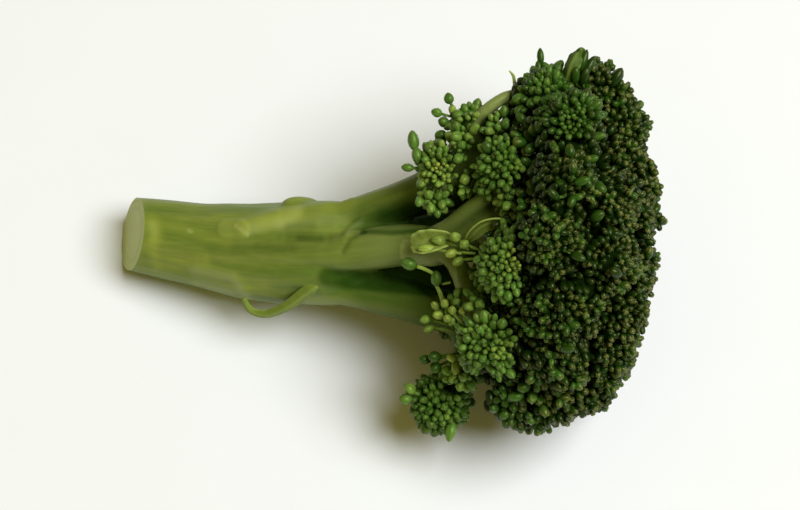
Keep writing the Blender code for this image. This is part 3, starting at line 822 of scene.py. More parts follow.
young_shape = make_bud("young bud", 0.04, 0.06, 0.0)
ripe_shape = make_bud("ripe bud", 0.13, -0.06, 0.07)
bm = bmesh.new()
bmesh.ops.create_cone(bm, cap_ends=True, segments=6, radius1=0.8, radius2=1, depth=1,
                      matrix=Matrix.Translation((0, 0, 0.5)))
stem_shape = template(bm, "bud stem")
for polygon in stem_shape.polygons:
    polygon.material_index = 1
bm = bmesh.new()
bmesh.ops.create_icosphere(bm, subdivisions=2, radius=1)
heart_shape = template(bm, "floret heart")
for polygon in heart_shape.polygons:
    polygon.material_index = 1
print("faces of a bud:", len(ripe_shape.polygons), "of a stem:", len(stem_shape.polygons))

# %% Placing copies
FULL_TURN = 6.28
GOLDEN_ANGLE = 2.39996      # each step turns this much, so that points never line up


def put(bm, shape, at, towards, wide, long, kind, spin=0.0):
    """Add a copy of a template, standing at a point and looking some way."""
    turn = towards.to_track_quat("Z", "Y").to_matrix().to_4x4()
    copy = shape.copy()
    copy.transform(TO_FLOOR @ Matrix.Translation(at) @ turn @ Matrix.Rotation(spin, 4, "Z")
                   @ Matrix.Diagonal((wide, wide, long, 1)))
    copy.attributes["kind"].data.foreach_set("vector", tuple(kind) * len(copy.vertices))
    bm.from_mesh(copy)
    bpy.data.meshes.remove(copy)


def put_stem(bm, start, end, radius, ripe):
    """A bud stem from one point to another."""
    run = end - start
    if run.length > 0.2:
        put(bm, stem_shape, start, run, radius, run.length, (0.5, ripe, 0))

# %% [markdown]
# ## Room for each bud
# Buds press on their neighbours and sink into them only a little. A grid of small cells
# remembers where buds are. A bud is left out if it would sit in another bud, in a stem or
# under the floor. The florets' domes run together into one rolling surface, which is a
# smooth blend of their spheres and of plain filling spheres between them, and each floret
# fills the part of it that is nearest. Deep creases are strokes again, along which that
# surface falls back.

# %% Tests for room
CELL = 3.2        # farther than two buds can touch
taken = {}        # for each cell, the buds in it: middle and half width
domes = [(name, Vector((x, y, z)), reach) for name, x, y, z, reach in FLORETS]


def cell_of(at):
    """The cell of the grid that a point is in."""
    return tuple(int(math.floor(c / CELL)) for c in at)


def is_free(at, wide, share):
    """True if no bud already there is nearer than a share of the two radii."""
    i, j, k = cell_of(at)
    cells = ((a, b, c) for a in (i - 1, i, i + 1) for b in (j - 1, j, j + 1) for c in (k - 1, k, k + 1))
    return all((other - at).length >= share * (radius + wide)
               for cell in cells for other, radius in taken.get(cell, ()))


BLEND, SKIN_BACK = 0.5, 0.5       # how sharply domes meet, and how far below them the surface is
FILLING = (       # x, y, z and radius of the growth between the florets, and if it is young
    (40, 4, 9, 15.5, False), (38, -17, 3, 14.5, False), (43, 20, 0, 15.5, False),
    (41, 0, -14, 18.5, False),
    (17, 27, 5, 6.5, True), (25, 30, 7, 6.0, True), (29, 15, 13, 6.0, True), (8.5, 13.5, 5, 4.2, True),
    (33, -11, 18, 7.0, False), (30, -29, 8, 8.0, False), (16, -29, 2, 5.5, True),
    (14, -13, 6, 4.5, True), (21, -13, 10, 6.0, True), (29, -14, 14, 6.0, False), (33, 8, 18, 6, False),
    (33, 27, 14, 7, False), (38, 12, 15, 10, False), (45, 7, 18, 9, False), (46, 15, 14, 9, False),
    (29, 32.5, 1, 4.2, True), (20, -4, 5, 4.5, True), (17.5, 18.5, 5, 5.0, True), (22.5, 17, 9, 4.6, True),
    (37.5, 43.0, 5, 4.6, True), (53, -18.5, 2, 7.5, False), (51, -25, 0, 7.2, False),
    (56, 14.5, 3, 7.8, False), (49.5, 38.5, 1, 6.6, False),
)
every_dome = [(c, r) for _, c, r in domes] + [(Vector(f[:3]), f[3]) for f in FILLING]
near_domes = [[d for d in every_dome if (d[0] - c).length < d[1] + r + 8] for c, r in every_dome]


def inside_crown(index, at):
    """Above 1 inside the crown near a dome, and 1 on its surface, which flows over the creases."""
    return sum(math.exp(-BLEND * ((at - c).length - r + SKIN_BACK)) for c, r in near_domes[index])


CREASES = (       # which side (1 up, -1 down, 0 both), path, reach and depth
    (1, ((31.5, 28), (34, 22), (36, 15.5)), 4.8, 6.0),
    (1, ((50.5, 30.2), (49.5, 25.4), (51, 20.6), (54.3, 18.2)), 4.0, 8.0),
    (1, ((46.5, 10.5), (48, 4.5)), 3.5, 6.5),
    (1, ((39.5, -1.2), (43.5, -4), (47.6, -6.8)), 3.8, 8.0),
    (1, ((31.2, -5.3), (37.9, -10.9)), 3.3, 6.0),
    (1, ((48.8, -5.4), (53.7, 1.2)), 2.6, 4.5),
    (1, ((20, -29), (21.5, -37)), 2.8, 5.0),
    (1, ((31, -24), (35, -30)), 2.6, 3.5),
    (1, ((44, -18), (47, -26)), 2.6, 3.5),
    (0, ((66, 3.8), (57, 3.8)), 2.6, 2.6),
    (1, ((14, 37), (22, 37)), 2.6, 1.6),
    (-1, ((34, 12), (42, 10), (50, 12)), 3.2, 5.0),
    (-1, ((30, -8), (38, -6), (44, -3)), 3.2, 5.0),
    (-1, ((38, -22), (46, -21)), 2.6, 4.0),
)


def crease_depth(at):
    """How far the crown's surface falls back at a place."""
    return max(depth * stroke_weight(at.x, at.y, path, reach, 0.0)
               for side, path, reach, depth in CREASES if side * at.z >= 0)


def surface_point(index, way, own_only=True):
    """Where the crown's surface lies in one direction from a dome's middle, if it is that dome's."""
    centre, reach = every_dome[index]
    high = reach * 0.8
    while inside_crown(index, centre + way * high) > 1:
        high += 0.9
        if high > reach + 5:
            return None
    low = high - 0.9
    for _ in range(4):
        half = (low + high) / 2
        if inside_crown(index, centre + way * half) > 1:
            low = half
        else:
            high = half
    at = centre + way * low
    own = (at - centre).length - reach
    if own_only and any((at - c).length - r < own - 0.4 for c, r in near_domes[index]):
        return None
    return at - way * crease_depth(at)


def nearest_floret(at):
    """The number of the floret whose dome is nearest."""
    return min(range(len(domes)), key=lambda j: (at - domes[j][1]).length - domes[j][2])


BRANCH_REACH = 6.5      # wider than any branch


def clear_of_stems(at, wide):
    """True if a bud there would stay outside the fleshy stems."""
    return all(distance > samples[i][1] + wide * 0.5
               for _, i, distance in stem_tree.find_range(at, BRANCH_REACH))


def try_bud(bm, shape, at, towards, wide, long, kind, share, chance):
    """Place a bud if there is room for it."""
    on_floor = height(at) < max(wide, long * 0.9)
    if on_floor or not clear_of_stems(at, wide) or not is_free(at, wide, share):
        return False
    taken.setdefault(cell_of(at), []).append((at, wide))
    put(bm, shape, at, towards, wide, long, kind, chance.uniform(0, FULL_TURN))
    return True


def even_directions(count, chance):
    """Directions spread evenly over a sphere, turned at random."""
    turn = (Matrix.Rotation(chance.uniform(0, FULL_TURN), 3, "Z")
            @ Matrix.Rotation(chance.uniform(0, 3), 3, "X"))
    for k in range(count):
        z = 1 - 2 * (k + 0.5) / count
        round_about = k * GOLDEN_ANGLE
        flat = math.sqrt(1 - z * z)
        yield turn @ Vector((flat * math.cos(round_about), flat * math.sin(round_about), z))

# %% [markdown]
# ## Two ways a floret grows
# On the crown a floret is made of tight clumps, each a knot of a dozen or so ripe buds that
# look outwards, with single buds set deeper between the knots. Lower down the florets are
# younger and looser: the buds sit in a spiral, tiny and yellow-green in the middle and
# bigger and greener outwards, on stems that show. Loose buds stand up beside them, and
# small ones close what is left open.

# %% Clumped florets
HEART = Vector((16, 0, -6))      # the crown grows away from here
knots = []                       # middle and size of every knot


def ripe_at(at):
    """How ripe the crown is: greener near the stalk and darkest on its far side."""
    return (0.64 + 0.13 * ramp_up(22, 36, at.x) + 0.13 * ramp_up(34, 52, at.x)
            + 0.05 * ramp_up(0, -20, at.y))


def plump(at):
    """The crown's buds are plumper at its upper left and lower left."""
    return (1 + 0.4 * ramp_up(8, 16, at.y) * ramp_up(46, 38, at.x)
            + 0.3 * ramp_up(-22, -32, at.y) * ramp_up(46, 36, at.x))


def grow_knots(bm, spots, chance):
    """Knots of small buds, each at a spot on the crown: a point and the way out from there."""
    for top, way in spots:
        size = chance.uniform(2.1, 3.1)
        middle = top - way * (size + chance.uniform(-0.9, 0.9))
        if any((middle - m).length < 0.7 * (size + s) for m, s in knots):
            continue
        knots.append((middle, size))
        # in a crease the buds are painted darker and riper: painted shade
        deep = min(1.0, crease_depth(middle) / 4)
        knot_ripe = ripe_at(middle) + 0.25 * deep + chance.uniform(-0.12, 0.1)
        # the knot's stem is nearly black: painted shade inside the crown
        put_stem(bm, middle - way * 5, middle, 0.8, 0.95)
        for towards in even_directions(int(4.0 * size * size), chance):
            if towards.dot(way) < -0.15:
                continue
            wide = chance.uniform(0.72, 1.12) * plump(middle)
            long = wide * chance.uniform(1.2, 1.7)
            edge = 1 - max(0.0, towards.dot(way))
            shade = chance.random() * (1 - 0.9 * deep)
            ripe = min(1, knot_ripe + 0.12 * edge + chance.uniform(-0.08, 0.08))
            on_top = ramp_up(-0.2, 0.7, towards.dot(way)) * ramp_up(20, 46, middle.x)
            olive = chance.uniform(0.3, 1.1) * on_top
            leaning = (towards + 0.4 * way).normalized()
            try_bud(bm, ripe_shape, middle + towards * (size - long), leaning, wide, long,
                    (shade, ripe, olive), 0.72, chance)


def grow_between(bm, spots, chance):
    """Single buds, a little deeper, wherever the knots leave room."""
    for top, way in spots:
        wide = chance.uniform(0.75, 1.15) * plump(top)
        long = wide * chance.uniform(1.3, 1.8)
        # painted shade: these buds are darker and riper than the knots, so the gaps between knots look deep
        kind = (chance.random() * 0.5, min(1, ripe_at(top) + chance.uniform(0.05, 0.2)),
                chance.uniform(0, 0.6))
        at = top - way * (long + chance.uniform(1.0, 3.0))
        try_bud(bm, ripe_shape, at, way, wide, long, kind, 0.76, chance)


def grow_loose(bm, spots, chance):
    """Bigger young buds that stand apart on their own stems."""
    for top, way in spots:
        wide = chance.uniform(1.0, 1.5)
        long = wide * chance.uniform(1.15, 1.6)
        at = top - way * (long + chance.uniform(-0.6, 1.4))
        sway = Vector((chance.uniform(-0.3, 0.3), chance.uniform(-0.3, 0.3), 0.2))
        leaning = (way + sway).normalized()
        kind = (chance.random(), chance.uniform(0.42, 0.66), 0.2 * chance.random())
        if try_bud(bm, young_shape, at, leaning, wide, long, kind, 0.86, chance):
            put_stem(bm, at - leaning * (long + 3.5), at - leaning * long * 0.6, 0.45, 0.4)


def grow_small(bm, spots, chance, ripe):
    """Small young buds that close the gaps in a loose floret."""
    for top, way in spots:
        wide = chance.uniform(0.65, 1.1)
        long = wide * chance.uniform(1.2, 1.7)
        kind = (chance.random(), ripe + chance.uniform(-0.1, 0.1), 0.2 * chance.random())
        at = top - way * (long + chance.uniform(0.3, 1.7))
        try_bud(bm, young_shape, at, way, wide, long, kind, 0.74, chance)


def leaned(way, outward):
    """A way out of a dome, leant towards the way the whole floret grows."""
    return (way + 0.45 * outward).normalized()

# %% Spiral florets
def grow_spiral(bm, index, chance, axis, small, large, ripe, loose):
    """Buds in a spiral round an axis, from tiny ones in the middle to full-grown ones."""
    _, centre, reach = domes[index]
    axis = axis.normalized()
    turn = axis.to_track_quat("Z", "Y").to_matrix()
    foot = centre - axis * reach * 0.35
    steep, k = 0.02, 0       # angle from the axis, and the number of the bud
    while steep < 2.6:
        share = min(1.0, steep / 1.4)
        wide = (small + (large - small) * ramp_up(0.05, 0.9, share)) * chance.uniform(0.8, 1.15)
        long = wide * chance.uniform(1.15, 1.6)
        round_about = k * GOLDEN_ANGLE + chance.uniform(-0.45, 0.45)
        lean = steep + chance.uniform(-0.13, 0.13)
        way = turn @ Vector((math.sin(lean) * math.cos(round_about),
                             math.sin(lean) * math.sin(round_about), math.cos(lean)))
        sunk = chance.uniform(-0.2, 0.9) + loose * chance.uniform(-0.6, 1.6) * share
        k += 1
        ring = 2 * math.pi * (reach - long) ** 2 * max(math.sin(steep), 0.06)
        steep += (2 * wide) ** 2 * 0.6 / ring
        top = surface_point(index, way)
        if top is None:
            continue
        at = top - way * (long + sunk)
        sway = Vector((chance.uniform(-0.2, 0.2), chance.uniform(-0.2, 0.2), 0))
        towards = (way + 0.25 * axis + sway).normalized()
        kind = (chance.random(), ripe[0] + (ripe[1] - ripe[0]) * ramp_up(0.02, 0.45, share)
                + chance.uniform(-0.08, 0.08), 0.25 * chance.random())
        if try_bud(bm, young_shape, at, towards, wide, long, kind, 0.78, chance):
            put_stem(bm, foot.lerp(at, 0.35), at - towards * long * 0.6, 0.34 + 0.16 * wide,
                     ripe[1] * 0.75)

# %% [markdown]
# ## Odd buds out
# Between the even crowds, single buds and fingers stand out: long buds that have pushed
# ahead on their own stems, and leaf-like ones in the creases. They are placed one by one:
# where the bud sits, which way it looks, its half width and half length, and how ripe it is.

# %% Odd buds, floret by floret
ODD_BUDS = {
    "upper_floret_1": (
        ((3.3, 28.3, 4), (-0.15, 1, 0.1), 1.4, 2.5, 0.62),
        ((4.3, 24.6, 4), (-0.25, 1, 0.1), 1.45, 2.2, 0.56),
        ((1.9, 21.6, 4), (-1, 0.1, 0.1), 1.1, 1.6, 0.6),
        ((7.4, 26.4, 5), (-0.4, 0.9, 0.3), 1.5, 1.7, 0.5),
        ((4.8, 13.2, 6), (-0.2, -0.8, 0.6), 1.2, 1.6, 0.55),
        ((7.6, 11.6, 7), (0, -0.7, 0.7), 1.25, 1.6, 0.5),
        ((10.3, 12.4, 7.5), (0.1, -0.6, 0.7), 1.2, 1.6, 0.5),
        ((9.2, 10.6, 6.5), (0.1, -1, 0.4), 1.1, 1.6, 0.6)),
    "upper_floret_2": (
        ((12.1, 38.8, 2), (-0.2, 1, 0), 1.4, 1.45, 0.72),
        ((9.1, 35.3, 2), (-1, 0.3, 0), 1.3, 1.4, 0.6),
        ((10.7, 33.0, 3), (-0.5, 0.1, 0.6), 1.4, 1.5, 0.62),
        ((10.1, 29.6, 3), (-0.9, -0.2, 0.4), 1.5, 1.6, 0.75),
        ((13.0, 36.0, 2.5), (0, 0.8, 0.5), 1.1, 1.3, 0.35)),
    "upper_floret_4": (
        ((34.7, 49.0, 5), (-0.05, 1, 0), 0.95, 2.1, 0.8),
        ((34.3, 46.2, 5), (-0.2, 1, 0.1), 1.0, 1.8, 0.78),
        ((30.2, 42.6, 5), (-0.8, 0.7, 0), 1.4, 1.5, 0.85),
        ((31.8, 40.4, 7), (-0.8, 0.3, 0.5), 1.3, 1.5, 0.75)),
    "upper_floret_6": (
        ((41.7, 46.2, 9.5), (0.1, 1, 0.1), 1.2, 3.3, 0.78),
        ((43.1, 47.3, 9.8), (0.25, 1, 0.1), 1.3, 3.5, 0.86),
        ((44.8, 47.2, 10), (0.35, 1, 0.1), 1.3, 3.3, 0.88),
        ((46.3, 46.2, 10), (0.5, 0.9, 0), 1.25, 2.9, 0.93),
        ((43.0, 44.0, 11), (0.1, 0.9, 0.5), 1.2, 2.3, 0.8),
        ((45.2, 43.8, 11), (0.3, 0.9, 0.4), 1.2, 2.3, 0.88),
        ((53.2, 43.6, 6), (0.5, 0.8, 0.2), 1.6, 2.9, 0.93)),
    "lower_floret_1": (
        ((12.6, -44.0, -3), (-0.2, -1, 0.1), 1.5, 2.6, 0.6),
        ((2.4, -33.4, -3), (-0.7, 0.6, 0.4), 1.5, 1.8, 0.5),
        ((1.4, -36.0, -3), (-1, 0, 0.4), 1.4, 1.7, 0.55)),
    "middle_floret_1": (
        ((6.4, -15.9, 4), (-1, -0.1, 0.2), 1.15, 1.5, 0.45),
        ((11.6, -15.6, 10), (-0.3, 0.3, 0.9), 1.1, 1.7, 0.3),
        ((15.3, -13.7, 11), (0.2, 0.4, 0.9), 1.0, 1.6, 0.25),
        ((8.6, -25.2, 4), (-0.7, 0, 0.6), 1.5, 1.9, 0.78),
        ((6.2, -25.9, 2), (-0.9, 0.1, 0.4), 1.3, 1.6, 0.8),
        ((8.8, -28.0, 2), (-0.6, -0.4, 0.6), 1.5, 1.7, 0.8),
        ((8.8, -12.6, 6), (-0.5, 0.5, 0.7), 1.1, 1.8, 0.32),
        ((11.0, -12.0, 8), (-0.2, 0.6, 0.8), 1.1, 1.7, 0.35),
        ((9.4, -14.8, 7), (-0.7, 0.1, 0.7), 1.2, 1.7, 0.3),
        ((12.8, -13.6, 10), (0, 0.5, 0.8), 1.1, 1.6, 0.3),
        ((7.2, -18.2, 4), (-0.8, -0.3, 0.4), 1.1, 1.6, 0.42),
        ((12.8, -25.4, 7), (-0.6, 0.2, 0.7), 1.15, 1.9, 0.25),
        ((13.7, -27.7, 7), (-0.1, -0.9, 0.5), 1.1, 2.0, 0.25),
        ((16.2, -27.3, 8), (0.2, -0.9, 0.5), 1.1, 1.9, 0.28)),
    "middle_floret_2": (
        ((6.6, 1.5, 8.2), (-1, 0.05, 0.1), 1.2, 2.3, 0.3),
        ((9.6, 3.5, 8.2), (-0.9, 0.2, 0.3), 1.4, 2.1, 0.36),
        ((13.6, 4.4, 10.5), (-0.5, 0.5, 0.7), 1.35, 1.7, 0.35),
        ((15.7, 2.6, 12), (-0.3, 0, 0.9), 1.35, 1.5, 0.42),
        ((12.6, 0.4, 10.5), (-0.8, -0.3, 0.5), 1.2, 1.8, 0.25),
        ((14.2, -1.6, 11), (-0.7, -0.4, 0.5), 1.2, 1.7, 0.38)),
    "upper_floret_5": (
        ((43.0, 24.2, 24), (0.9, -0.3, 0.4), 1.25, 2.0, 0.7),
        ((31.5, 25.8, 19), (-0.7, -0.5, 0.6), 1.3, 1.8, 0.8),
        ((35.0, 23.3, 19), (-0.5, 0.4, 0.7), 1.3, 1.9, 0.8),
        ((38.3, 24.9, 22), (-0.2, 0.6, 0.8), 1.2, 1.8, 0.76),
        ((32.6, 19.5, 19), (-0.5, 0.3, 0.8), 1.4, 2.1, 0.82),
        ((30.6, 22.6, 17.5), (-0.6, 0.4, 0.7), 1.35, 1.9, 0.8),
        ((35.8, 19.4, 22.5), (-0.2, 0.3, 0.9), 1.3, 1.8, 0.8),
        ((38.6, 20.4, 24.5), (0.2, 0.4, 0.9), 1.2, 1.8, 0.76),
        ((47.5, 28.6, 22), (0.9, 0.2, 0.4), 1.1, 2.3, 0.64),
        ((46.0, 23.0, 22.5), (0.8, 0.3, 0.5), 1.2, 2.2, 0.72)),
    "middle_floret_3": (
        ((43.3, 17.6, 33), (0.9, 0.3, 0.4), 1.2, 2.1, 0.74),
        ((36.6, 14.4, 32.5), (-0.6, 0.6, 0.4), 1.2, 1.9, 0.86)),
    "middle_floret_5": (
        ((47.8, 16.2, 28), (0.7, -0.5, 0.4), 1.5, 2.1, 0.78),
        ((47.2, 9.3, 28.5), (0.6, 0.35, 0.5), 1.5, 2.2, 0.8)),
    "middle_floret_7": (((42.3, -0.4, 33.5), (0.8, -0.3, 0.4), 1.2, 2.1, 0.84),),
    "middle_floret_8": (((51.5, -4.2, 31.0), (-0.6, 0.3, 0.8), 1.5, 2.2, 0.9),),
    "lower_floret_2": (
        ((40.0, -22.5, 30.0), (0.7, 0.1, 0.7), 1.1, 2.4, 0.85),
        ((34.8, -13.0, 27.5), (-0.6, 0.5, 0.6), 1.2, 2.0, 0.86)),
    "lower_floret_3": (((50.5, -8.5, 20.5), (0.3, 0.7, 0.6), 1.3, 2.2, 0.84),),
}
print("odd buds:", sum(len(buds) for buds in ODD_BUDS.values()))

# %% [markdown]
# ## Growing all the florets
# Each CAD floret is replaced by a crowd of buds of its own. The florets near the stalk are
# young and spiral, and the rest are clumped. First come the odd buds, then the crowd, then
# the filling between it and its neighbours, and each only takes the room that is left. A
# dark heart behind the buds stops light and view passing through, as the imported bud stems
# do on the real head. Its dark green is painted shade, the shade deep inside the floret.

# %% The young florets, and the spots between florets
UP = Vector((0, 0, 1))
SPIRALS = {    # axis, smallest and largest bud, ripeness in the middle and outside, looseness
    "upper_floret_1": ((-0.05, -0.1, 1), 0.55, 1.5, (0.2, 0.52), 0.6),
    "upper_floret_2": ((0.1, 0.2, 1), 0.9, 1.5, (0.4, 0.57), 1.0),
    "upper_floret_3": ((0.3, -0.2, 1), 0.75, 1.4, (0.46, 0.66), 0.7),
    "middle_floret_1": ((0.3, -0.2, 1), 0.7, 1.5, (0.44, 0.62), 0.5),
    "middle_floret_2": ((0.3, 0.05, 1), 0.55, 1.35, (0.24, 0.6), 0.4),
    "lower_floret_1": ((0.3, -0.4, 1), 0.9, 1.65, (0.54, 0.7), 1.0),
    "upper_floret_4": ((0.0, 0.2, 1), 0.9, 1.5, (0.62, 0.76), 0.8),
    "upper_floret_5": ((0.0, 0.1, 1), 0.62, 1.45, (0.6, 0.86), 1.4),
}
filling_spots = {}
for number, (x, y, z, reach, young) in enumerate(FILLING):
    chance = random.Random(number)
    for way in even_directions(int(reach ** 2 * 4.5), chance):
        top = surface_point(len(domes) + number, way, own_only=young)
        if top is None or top.x < (4 if young else 24):
            continue
        owner = nearest_floret(top)
        filling_spots.setdefault((owner, young), []).append((top, way))
print("spots between the florets:", sum(len(v) for v in filling_spots.values()))

# %% Grow the florets
KNOT_SPOTS, BUD_SPOTS, SMALL_SPOTS = 130, 620, 700      # places tried on one floret
numbers, crowds = {}, []      # florets so far on each branch, and each node with its bmesh
for index, (branch, x, y, z, reach) in enumerate(FLORETS):
    numbers[branch] = numbers.get(branch, 0) + 1
    node = f"{branch}_floret_{numbers[branch]}"
    chance = random.Random(node)
    centre = Vector((x, y, z))
    outward = (centre - HEART).normalized()
    bm = bmesh.new()
    # a floret's heart is painted dark green, as the shade deep inside it
    heart_painted_shade, heart_size = (0.62, 0.52) if node in SPIRALS else (1.0, 0.48)
    put(bm, heart_shape, centre + outward * reach * 0.08, UP,
        reach * heart_size, reach * heart_size, (0.5, heart_painted_shade, 0))
    for at, towards, wide, long, ripe in ODD_BUDS.get(node, ()):
        at, towards = Vector(at), Vector(towards).normalized()
        taken.setdefault(cell_of(at), []).append((at, wide))
        kind = (chance.random(), min(1.0, ripe + 0.07 * ramp_up(28, 34, at.x)), 0.1)
        put(bm, young_shape, at, towards, wide, long, kind, chance.uniform(0, FULL_TURN))
        start = centre.lerp(at - towards * (long + 1.5), 0.7)
        put_stem(bm, start, at - towards * long * 0.6, 0.42, ripe * 0.7)
    if node in SPIRALS:
        axis, small, large, ripe, loose = SPIRALS[node]
        grow_spiral(bm, index, chance, Vector(axis), small, large, ripe, loose)
        grow_loose(bm, filling_spots.get((index, True), ()), chance)
        spots = [(surface_point(index, way), way) for way in even_directions(SMALL_SPOTS, chance)]
        grow_small(bm, [s for s in spots if s[0]], chance, (ripe[0] + 4 * ripe[1]) / 5)
        grow_small(bm, filling_spots.get((index, True), ()), chance, ripe[1])
    else:
        grow_loose(bm, filling_spots.get((index, True), ()), chance)
        spots = [(surface_point(index, way), leaned(way, outward))
                 for way in even_directions(KNOT_SPOTS, chance) if way.dot(outward) > -0.35]
        spots = [s for s in spots if s[0]] + filling_spots.get((index, False), [])[::3]
        chance.shuffle(spots)
        grow_knots(bm, spots, chance)
        spots = [(surface_point(index, way), leaned(way, outward))
                 for way in even_directions(BUD_SPOTS, chance) if way.dot(outward) > -0.5]
        grow_between(bm, [s for s in spots if s[0]], chance)
    grow_between(bm, filling_spots.get((index, False), ()), chance)
    crowds.append((node, bm))
print("buds:", sum(len(v) for v in taken.values()))

# %% [markdown]
# ## No daylight through the crown
# A real crown is packed with stems and can't be seen through. So more hearts stand inside
# the big domes and where two domes meet, dark green as painted shade. Then lines are followed
# outwards from a few points inside the crown: where one leaves without passing near a bud, a
# bud is set deep in that gap, so that it closes the view. It is painted nearly black as
# painted shade, so that the gap still looks like one.

# %% Hearts inside the crown
in_crown = [(c, r) for c, r in every_dome if c.x > 28]
hearts = [(c, r * 0.5) for c, r in in_crown if r >= 9]
for number, (c, r) in enumerate(in_crown):
    for other, reach in in_crown[:number]:
        if (c - other).length < r + reach - 1:
            middle = (c + other) / 2
            hearts.append((middle - (middle - HEART).normalized() * 1.5, 0.42 * min(r, reach)))
for centre, radius in hearts:
    bm = crowds[nearest_floret(centre)][1]
    # ripeness 1 gives the stems' darkest colour: painted shade inside the crown
    put(bm, heart_shape, centre, UP, radius, radius, (0.5, 1.0, 0))
print("hearts in the crown:", len(hearts))

# %% Buds in the gaps
LOOK_FROM = (HEART, Vector((28, -16, -4)), Vector((28, 16, -4)), Vector((30, 0, 6)), Vector((20, 24, -12)))
LINES = 6000      # from each of those points
chance = random.Random("gaps")
closed = 0
for start in LOOK_FROM:
    for way in even_directions(LINES, chance):
        reaches = []
        for c, r in every_dome:
            along = (c - start).dot(way)
            off = (c - start - way * along).length
            if off < r and along > 0:
                reaches.append(along + math.sqrt(r * r - off * off))
        if not reaches or (start + way * max(reaches)).x < 22:
            continue
        edge = max(reaches)
        if all(is_free(start + way * (edge - 0.6 * step), 0.05, 1.0) for step in range(10)):
            wide = chance.uniform(0.8, 1.25)
            at = start + way * (edge - chance.uniform(4.8, 6.6))
            # painted shade: the gap buds are dark and fully ripe, so they read as deep shade
            kind = (chance.random() * 0.2, 1.0, chance.uniform(0, 0.2))
            long = wide * chance.uniform(1.3, 1.9)
            bm = crowds[nearest_floret(at)][1]
            closed += try_bud(bm, ripe_shape, at, way, wide, long, kind, 0.7, chance)
print("buds set in gaps:", closed)

# %% Show the florets
total = 0
for node, bm in crowds:
    total += len(bm.faces)
    crowd = show(node + "_buds", mesh_of(bm, node), [bud_skin, stem_skin])
    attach(crowd, "root")
    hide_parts(node)
print("faces in the florets:", total)

# %% [markdown]
# ## Leaves
# A leaf is a strip of cells along a smooth path. Its cross-section is a shallow cup with a
# raised midrib, so a grid is bent over the path, and Solidify and Subdivision Surface
# modifiers give it a thickness and round edges.

# %% Leaf helper
CELLS_ACROSS = 8


def leaf(name, points, widths, thick, up, cup, dark, curl=0.0):
    """A blade along a path. Cup is how far its edges stand up, as a share of its half width."""
    path = smooth_path(points, 5)
    bm = bmesh.new()
    bmesh.ops.create_grid(bm, x_segments=len(path) - 1, y_segments=CELLS_ACROSS, size=1)
    rib_layer = bm.verts.layers.float_vector.new("rib")
    kind_layer = bm.verts.layers.float_vector.new("kind")
    for v in bm.verts:
        i = round((v.co.x + 1) / 2 * (len(path) - 1))
        s = v.co.y
        along = (path[min(i + 1, len(path) - 1)] - path[max(i - 1, 0)]).normalized()
        side = Vector(up).cross(along).normalized()
        over = along.cross(side)
        wide = between(widths, i / (len(path) - 1))
        bend = cup * s * s + 0.16 * math.exp(-(s / 0.14) ** 2) + curl * math.sin(i * 1.3) * s * s
        v.co = path[i] + side * wide * s + over * wide * bend
        v[rib_layer] = Vector((abs(s), i / (len(path) - 1), 0))
        v[kind_layer] = Vector((0.5, dark, 0))
    bmesh.ops.recalc_face_normals(bm, faces=bm.faces)
    bm.normal_update()
    for f in bm.faces:
        f.smooth = True
    bm.transform(TO_FLOOR)
    made = show(name + "_blade", mesh_of(bm, name), [leaf_skin])
    wall = made.modifiers.new("thickness", "SOLIDIFY")
    wall.thickness, wall.offset = thick * 0.001, 0.0
    rounder = made.modifiers.new("round edges", "SUBSURF")
    rounder.levels = rounder.render_levels = 1
    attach(made, "root")
    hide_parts(name)

# %% Make the leaves
leaf("cup_leaf", ((12.8, 3.8, 6.0), (11.2, 3.8, 7.2), (8.6, 3.5, 7.2), (6.2, 3.1, 6.4), (4.2, 2.8, 5.2),
                  (3.0, 2.6, 4.2)), (0.7, 1.9, 2.8, 3.0, 2.3, 0.8), 0.5, (0, 0.1, 1), 0.8, 0.34, 0.08)
leaf("curled_bract", ((16.5, 3.6, 10.5), (18.4, 5.8, 13.5), (20.8, 7.6, 15.5), (24, 8.2, 16), (27, 7.6, 15)),
     (0.9, 1.8, 2.0, 1.7, 0.6), 0.55, (0, -0.9, 1), 0.5, 0.6)
leaf("crest_leaf", ((40.8, 42.6, 9.5), (41.6, 45.6, 11.0), (43.0, 48.6, 11.0), (44.9, 50.9, 9.0)),
     (1.2, 1.9, 1.9, 0.8), 0.6, (-0.5, -0.1, 1), -0.6, 0.88, 0.15)
leaf("leaf_tip", ((28.4, 41.0, 3), (28.3, 43, 3), (28, 44.4, 3.2), (27.0, 45.6, 3.6)),
     (0.45, 0.4, 0.35, 0.12), 0.25, (0, 0, 1), -0.4, 0.1)
leaf("stalk_bract", ((-16.2, -5.0, -12.8), (-19.0, -6.6, -10.9), (-21.8, -8.4, -10.9),
                     (-25, -10.6, -13.2), (-29, -13.4, -16.4), (-34, -15.2, -19.6),
                     (-38, -14.2, -20.2), (-39.8, -11.0, -18.4)),
     (2.4, 2.2, 1.8, 1.6, 1.4, 1.2, 0.9, 0.5), 0.8, (0, -0.6, 0.8), -0.5, 0.48)

# %% [markdown]
# ## The loose sprig
# One thin stem has grown out of the gap between two branches, with a bud half way up and
# another at its tip. It is a slim tube with real buds on it.

